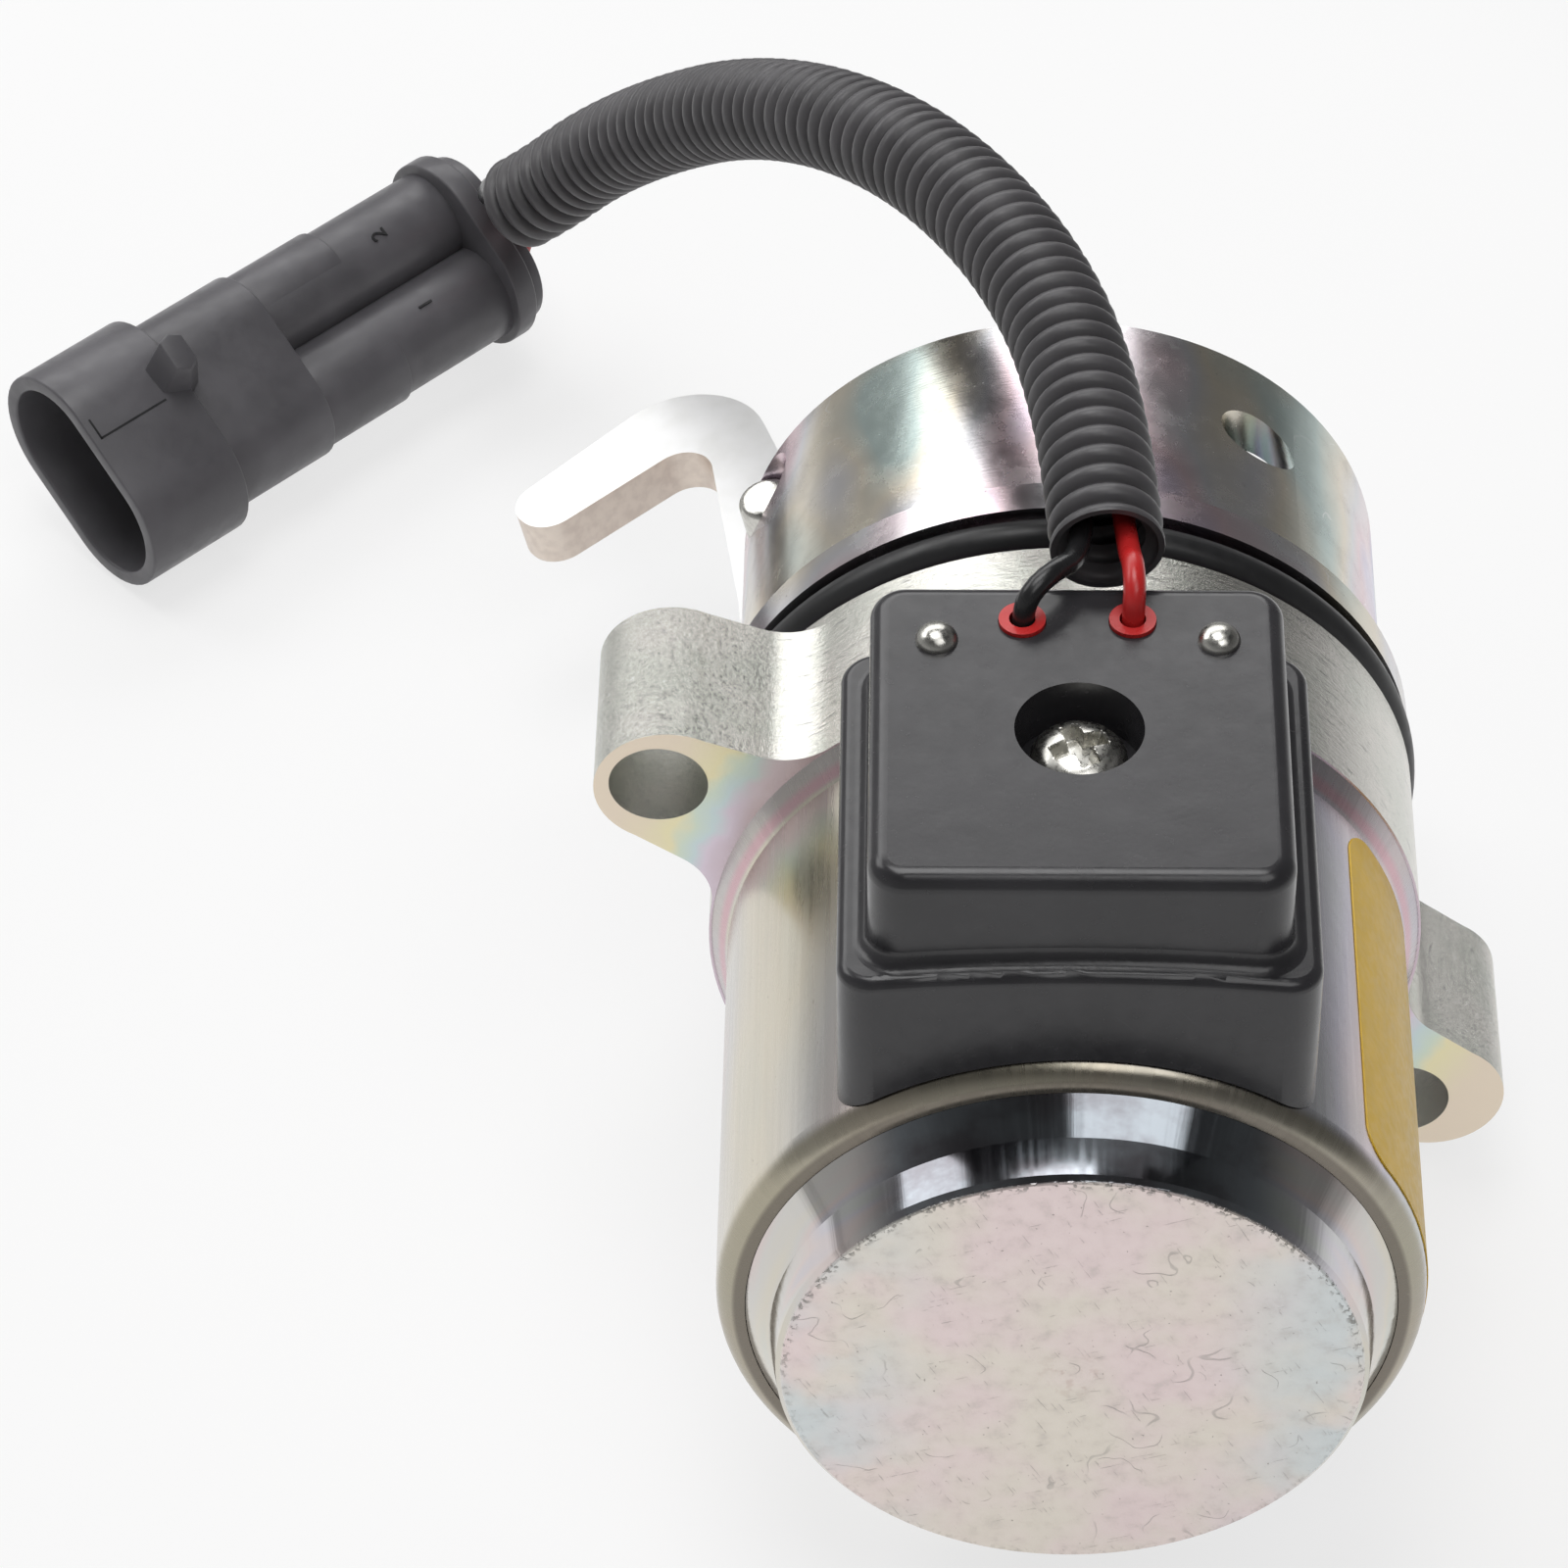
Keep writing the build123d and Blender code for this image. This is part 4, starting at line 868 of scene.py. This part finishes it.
def connector_body(finish, dark):
    """The housing again with softened edges, and its nub, seam and side steps as the photograph shows."""
    inner = (SHROUD_WIDTH - 2 * SHROUD_WALL, SHROUD_HEIGHT - 2 * SHROUD_WALL)
    shroud = [
        oval(*inner, SHROUD_DEPTH),
        oval(*inner, 0.0),
        oval(SHROUD_WIDTH, SHROUD_HEIGHT, 0.0),
        oval(SHROUD_WIDTH, SHROUD_HEIGHT, SHROUD_LENGTH),
    ]
    neck = [oval(NECK_WIDTH, NECK_HEIGHT, depth) for depth in (SHROUD_DEPTH + NECK_OVERLAP, NECK_END)]
    bodies = [moulded_prism(shroud), moulded_prism(neck)]
    size = 2 * CAVITY_RADIUS
    tube_start = NECK_END - TUBE_OVERLAP
    tube_end = REAR_OVALS[0][2] + TUBE_OVERLAP
    for side in (-1, 1):
        middle = side * CAVITY_SPACING / 2
        tube = [oval(size, size, depth, middle) for depth in (tube_start, tube_end)]
        raised = middle + side * STEP_RISE
        step = [oval(size, size, depth, raised) for depth in (tube_start, STEP_END)]
        bodies += [moulded_prism(tube), moulded_prism(step)]
    for width, height, front, back in REAR_OVALS:
        rear = [oval(width, height, depth) for depth in (front - REAR_OVERLAP, back)]
        bodies.append(moulded_prism(rear))
    nub = [
        [connector_point(x, NECK_OVERLAP - NECK_HEIGHT / 2, depth) * MM for x, depth in NUB_FOOT],
        [connector_point(x, -SHROUD_HEIGHT / 2 - NUB_HEIGHT, depth) * MM for x, depth in NUB_TOP],
    ]
    bodies.append(moulded_prism(nub))
    whole = bmesh.new()
    for body in bodies:
        whole.from_mesh(body)
    bmesh.ops.recalc_face_normals(whole, faces=whole.faces)
    mesh = bpy.data.meshes.new("connector_body")
    whole.to_mesh(mesh)
    whole.free()
    mesh.shade_smooth()
    mesh.set_sharp_from_angle(angle=math.radians(32))
    made = bpy.data.objects.new("connector_body", mesh)
    bpy.context.scene.collection.objects.link(made)
    mesh.materials.append(finish)
    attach(made, "root")
    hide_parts("connector_housing")
    pieces = [made]
    # The seam is a thin strip barely proud of the shroud, in the dark finish: its dark colour is painted
    # shade
    top = (-SHROUD_HEIGHT / 2 - SEAM_RISE, -SHROUD_HEIGHT / 2 + SEAM_SINK)
    seam_span = (SEAM_SIDE - SEAM_WIDTH / 2, SEAM_SIDE + SEAM_WIDTH / 2)
    for name, x_span, depth_span in (
        ("seam", seam_span, (SEAM_START, SEAM_END)),
        ("seam_end", (SEAM_FAR_SIDE, seam_span[1]), (SEAM_START, SEAM_START + SEAM_WIDTH)),
    ):
        line = connector_box(name, x_span, top, depth_span)
        line.data.materials.append(dark)
        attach(line, "root")
        pieces.append(line)
    return pieces


def screw_height(radius, angle):
    """Height of the pan head over its rim, with the cross recess, in millimetres."""
    share = min(1.0, radius / SCREW_HEAD_RADIUS)
    height = SCREW_DOME * math.sqrt(max(0.0, 1 - share ** SCREW_DOME_POWER))
    deepest = 0.0
    for turn in (0, math.pi / 2):
        along = abs(radius * math.cos(angle - CROSS_TURN - turn))
        across = abs(radius * math.sin(angle - CROSS_TURN - turn))
        wall = min(1.0, max(0.0, (CROSS_HALF_WIDTH + CROSS_ROUNDING - across) / CROSS_WALL_SLOPE))
        end = min(1.0, max(0.0, (CROSS_REACH - along) / CROSS_END_SLOPE))
        deepest = max(deepest, min(wall, end))
    return height - CROSS_DEPTH * deepest


def pan_head(finish):
    """The cover's screw: a domed pan head with a cross recess, over its shank."""
    sides = 168
    rings = 44
    centre = Vector((0, COVER_CENTRE, SCREW_FLOOR))
    angles = [2 * math.pi * k / sides for k in range(sides)]
    rows = []
    for i in range(1, rings + 1):
        radius = SCREW_HEAD_RADIUS * i / rings
        rows.append([(radius, SCREW_RIM + screw_height(radius, angle)) for angle in angles])
    for radius, height in (
        (SCREW_HEAD_RADIUS, SCREW_HEAD_SEAT),
        (SCREW_SHANK_RADIUS, SCREW_HEAD_SEAT),
        (SCREW_SHANK_RADIUS, SCREW_SHANK_END - SCREW_FLOOR),
    ):
        rows.append([(radius, height)] * sides)
    points = [centre + Vector((0, 0, SCREW_RIM + screw_height(0, 0)))]
    for row in rows:
        for angle, (radius, height) in zip(angles, row):
            points.append(centre + Vector((radius * math.cos(angle), radius * math.sin(angle), height)))
    faces = [(0, 1 + k, 1 + (k + 1) % sides) for k in range(sides)]
    for i in range(len(rows) - 1):
        for k in range(sides):
            j = (k + 1) % sides
            inner = 1 + i * sides
            faces.append((inner + k, inner + sides + k, inner + sides + j, inner + j))
    last = 1 + (len(rows) - 1) * sides
    faces.append(tuple(reversed(range(last, last + sides))))
    made = mesh_object("pan_head_screw", [p * MM for p in points], faces)
    made.data.set_sharp_from_angle(angle=math.radians(45))
    made.data.materials.append(finish)
    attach(made, "root")
    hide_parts("cover_screw")


def pin_domes(finish):
    """The round heads over the two terminal pins, turned from an ellipse."""
    sides = 40
    steps = 10
    for name, side in (("left", -1), ("right", 1)):
        centre = Vector((side * PIN_OFFSET, COVER_CENTRE + PIN_FORWARD, COVER_TOP))
        points = []
        for i in range(steps):
            tilt = math.pi / 2 * i / steps
            for k in range(sides):
                angle = 2 * math.pi * k / sides
                out = PIN_DOME_RADIUS * math.cos(tilt)
                rise = PIN_DOME_HEIGHT * math.sin(tilt)
                points.append((centre + Vector((out * math.cos(angle), out * math.sin(angle), rise))) * MM)
        points.append((centre + Vector((0, 0, PIN_DOME_HEIGHT))) * MM)
        faces = []
        for i in range(steps - 1):
            for k in range(sides):
                j = (k + 1) % sides
                faces.append((i * sides + k, i * sides + j, (i + 1) * sides + j, (i + 1) * sides + k))
        top = (steps - 1) * sides
        faces += [(top + k, top + (k + 1) % sides, steps * sides) for k in range(sides)]
        faces.append(tuple(reversed(range(sides))))
        made = mesh_object(name + "_pin_dome", points, faces)
        made.data.set_sharp_from_angle(angle=math.radians(60))
        made.data.materials.append(finish)
        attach(made, "root")


def floor():
    """A wide pale floor under the object, which shows its soft shadow, with a painted pool of light that
    dims its colour and glow away from the middle.
    """
    level = CAD_BOX[0].z - FLOOR_DROP
    points = [
        (FLOOR_RADIUS * math.cos(a), FLOOR_RADIUS * math.sin(a), level)
        for a in (2 * math.pi * k / FLOOR_SIDES for k in range(FLOOR_SIDES))
    ]
    made = mesh_object("floor", points, [tuple(range(FLOOR_SIDES))], smooth=False)
    f = Finish("floor", roughness=0.9)
    centre = (PAINTED_POOL_CENTRE[0] / MM, PAINTED_POOL_CENTRE[1] / MM, level / MM)
    away = f.node("VectorMath", {0: f.where(), 1: centre}, operation="DISTANCE").outputs["Value"]
    # Colour and glow fall off away from the pool's middle: a painted pool of light
    painted_pool = f.span(away, PAINTED_POOL_INNER / MM, PAINTED_POOL_OUTER / MM, 1.0, PAINTED_POOL_EDGE_LEVEL)
    f.set("Base Color", f.mix(painted_pool, (0.0, 0.0, 0.0), (0.90, 0.90, 0.90)))
    seen = f.node("LightPath").outputs
    share = f.calc("MAXIMUM", seen["Is Camera Ray"], seen["Is Glossy Ray"])
    share = f.calc("MAXIMUM", share, seen["Is Transmission Ray"])
    glow = f.node("Emission", {0: (1, 1, 1, 1), 1: painted_pool}).outputs[0]
    mixed = f.node("MixShader", {0: f.calc("MULTIPLY", share, FLOOR_GLOW), 1: f.shader.outputs[0], 2: glow})
    f.feed(f.tree.nodes["Material Output"].inputs["Surface"], mixed.outputs[0])
    made.data.materials.append(f.material)


def world():
    """A grey studio, darker overhead and to the right."""
    made = bpy.data.worlds.new("studio")
    made.use_nodes = True
    tree = made.node_tree
    background = tree.nodes["Background"]
    direction = tree.nodes.new("ShaderNodeTexCoord").outputs["Generated"]
    parts = tree.nodes.new("ShaderNodeSeparateXYZ")
    tree.links.new(direction, parts.inputs[0])
    ramp = tree.nodes.new("ShaderNodeValToRGB")
    while len(ramp.color_ramp.elements) < len(SKY):
        ramp.color_ramp.elements.new(0.5)
    for element, (height, level) in zip(ramp.color_ramp.elements, SKY):
        element.position = height
        element.color = (level, level, level, 1)
    tree.links.new(parts.outputs[2], ramp.inputs[0])
    tree.links.new(ramp.outputs[0], background.inputs[0])
    side = tree.nodes.new("ShaderNodeMapRange")
    for number, value in enumerate((-SIDE_FALL, SIDE_FALL, 1.0, RIGHT_SIDE_LEVEL), start=1):
        side.inputs[number].default_value = value
    tree.links.new(parts.outputs[0], side.inputs[0])
    tree.links.new(side.outputs[0], background.inputs[1])
    bpy.context.scene.world = made


def lamp(name, direction, distance, width, height, level):
    """A softbox that looks at the object's middle."""
    data = bpy.data.lights.new(name, "AREA")
    data.shape = "RECTANGLE"
    data.size = width
    data.size_y = height
    data.energy = level * math.pi * width * height
    made = bpy.data.objects.new(name, data)
    bpy.context.scene.collection.objects.link(made)
    middle = (CAD_BOX[0] + CAD_BOX[1]) / 2
    out = Vector(direction).normalized()
    made.location = middle + out * distance
    made.rotation_mode = "QUATERNION"
    made.rotation_quaternion = out.to_track_quat("Z", "Y")


camera()
materials = finishes()
corrugated_conduit(materials["conduit_plastic"])
connector = connector_body(materials["connector_plastic"], materials["seal_rubber"])
# The numbers take the darker rubber finish: painted shade
for text, side, lean in NUMBERS:
    connector.append(cavity_number(text, side, lean, materials["seal_rubber"]))
wire(
    "black_wire_run", "black_wire", BLACK_WIRE_START, -WIRE_SPREAD, BLACK_WIRE_TURN, -1,
    materials["black_insulation"],
)
wire(
    "red_wire_run", "red_wire", RED_WIRE_START, WIRE_SPREAD, RED_WIRE_TURN, 1,
    materials["red_plastic"],
)
dress_solids(materials)
pin_domes(materials["pin_steel"])
pan_head(materials["pin_steel"])
floor()
world()
for softbox in SOFTBOXES:
    lamp(*softbox)
bpy.context.scene.view_settings.view_transform = "Standard"
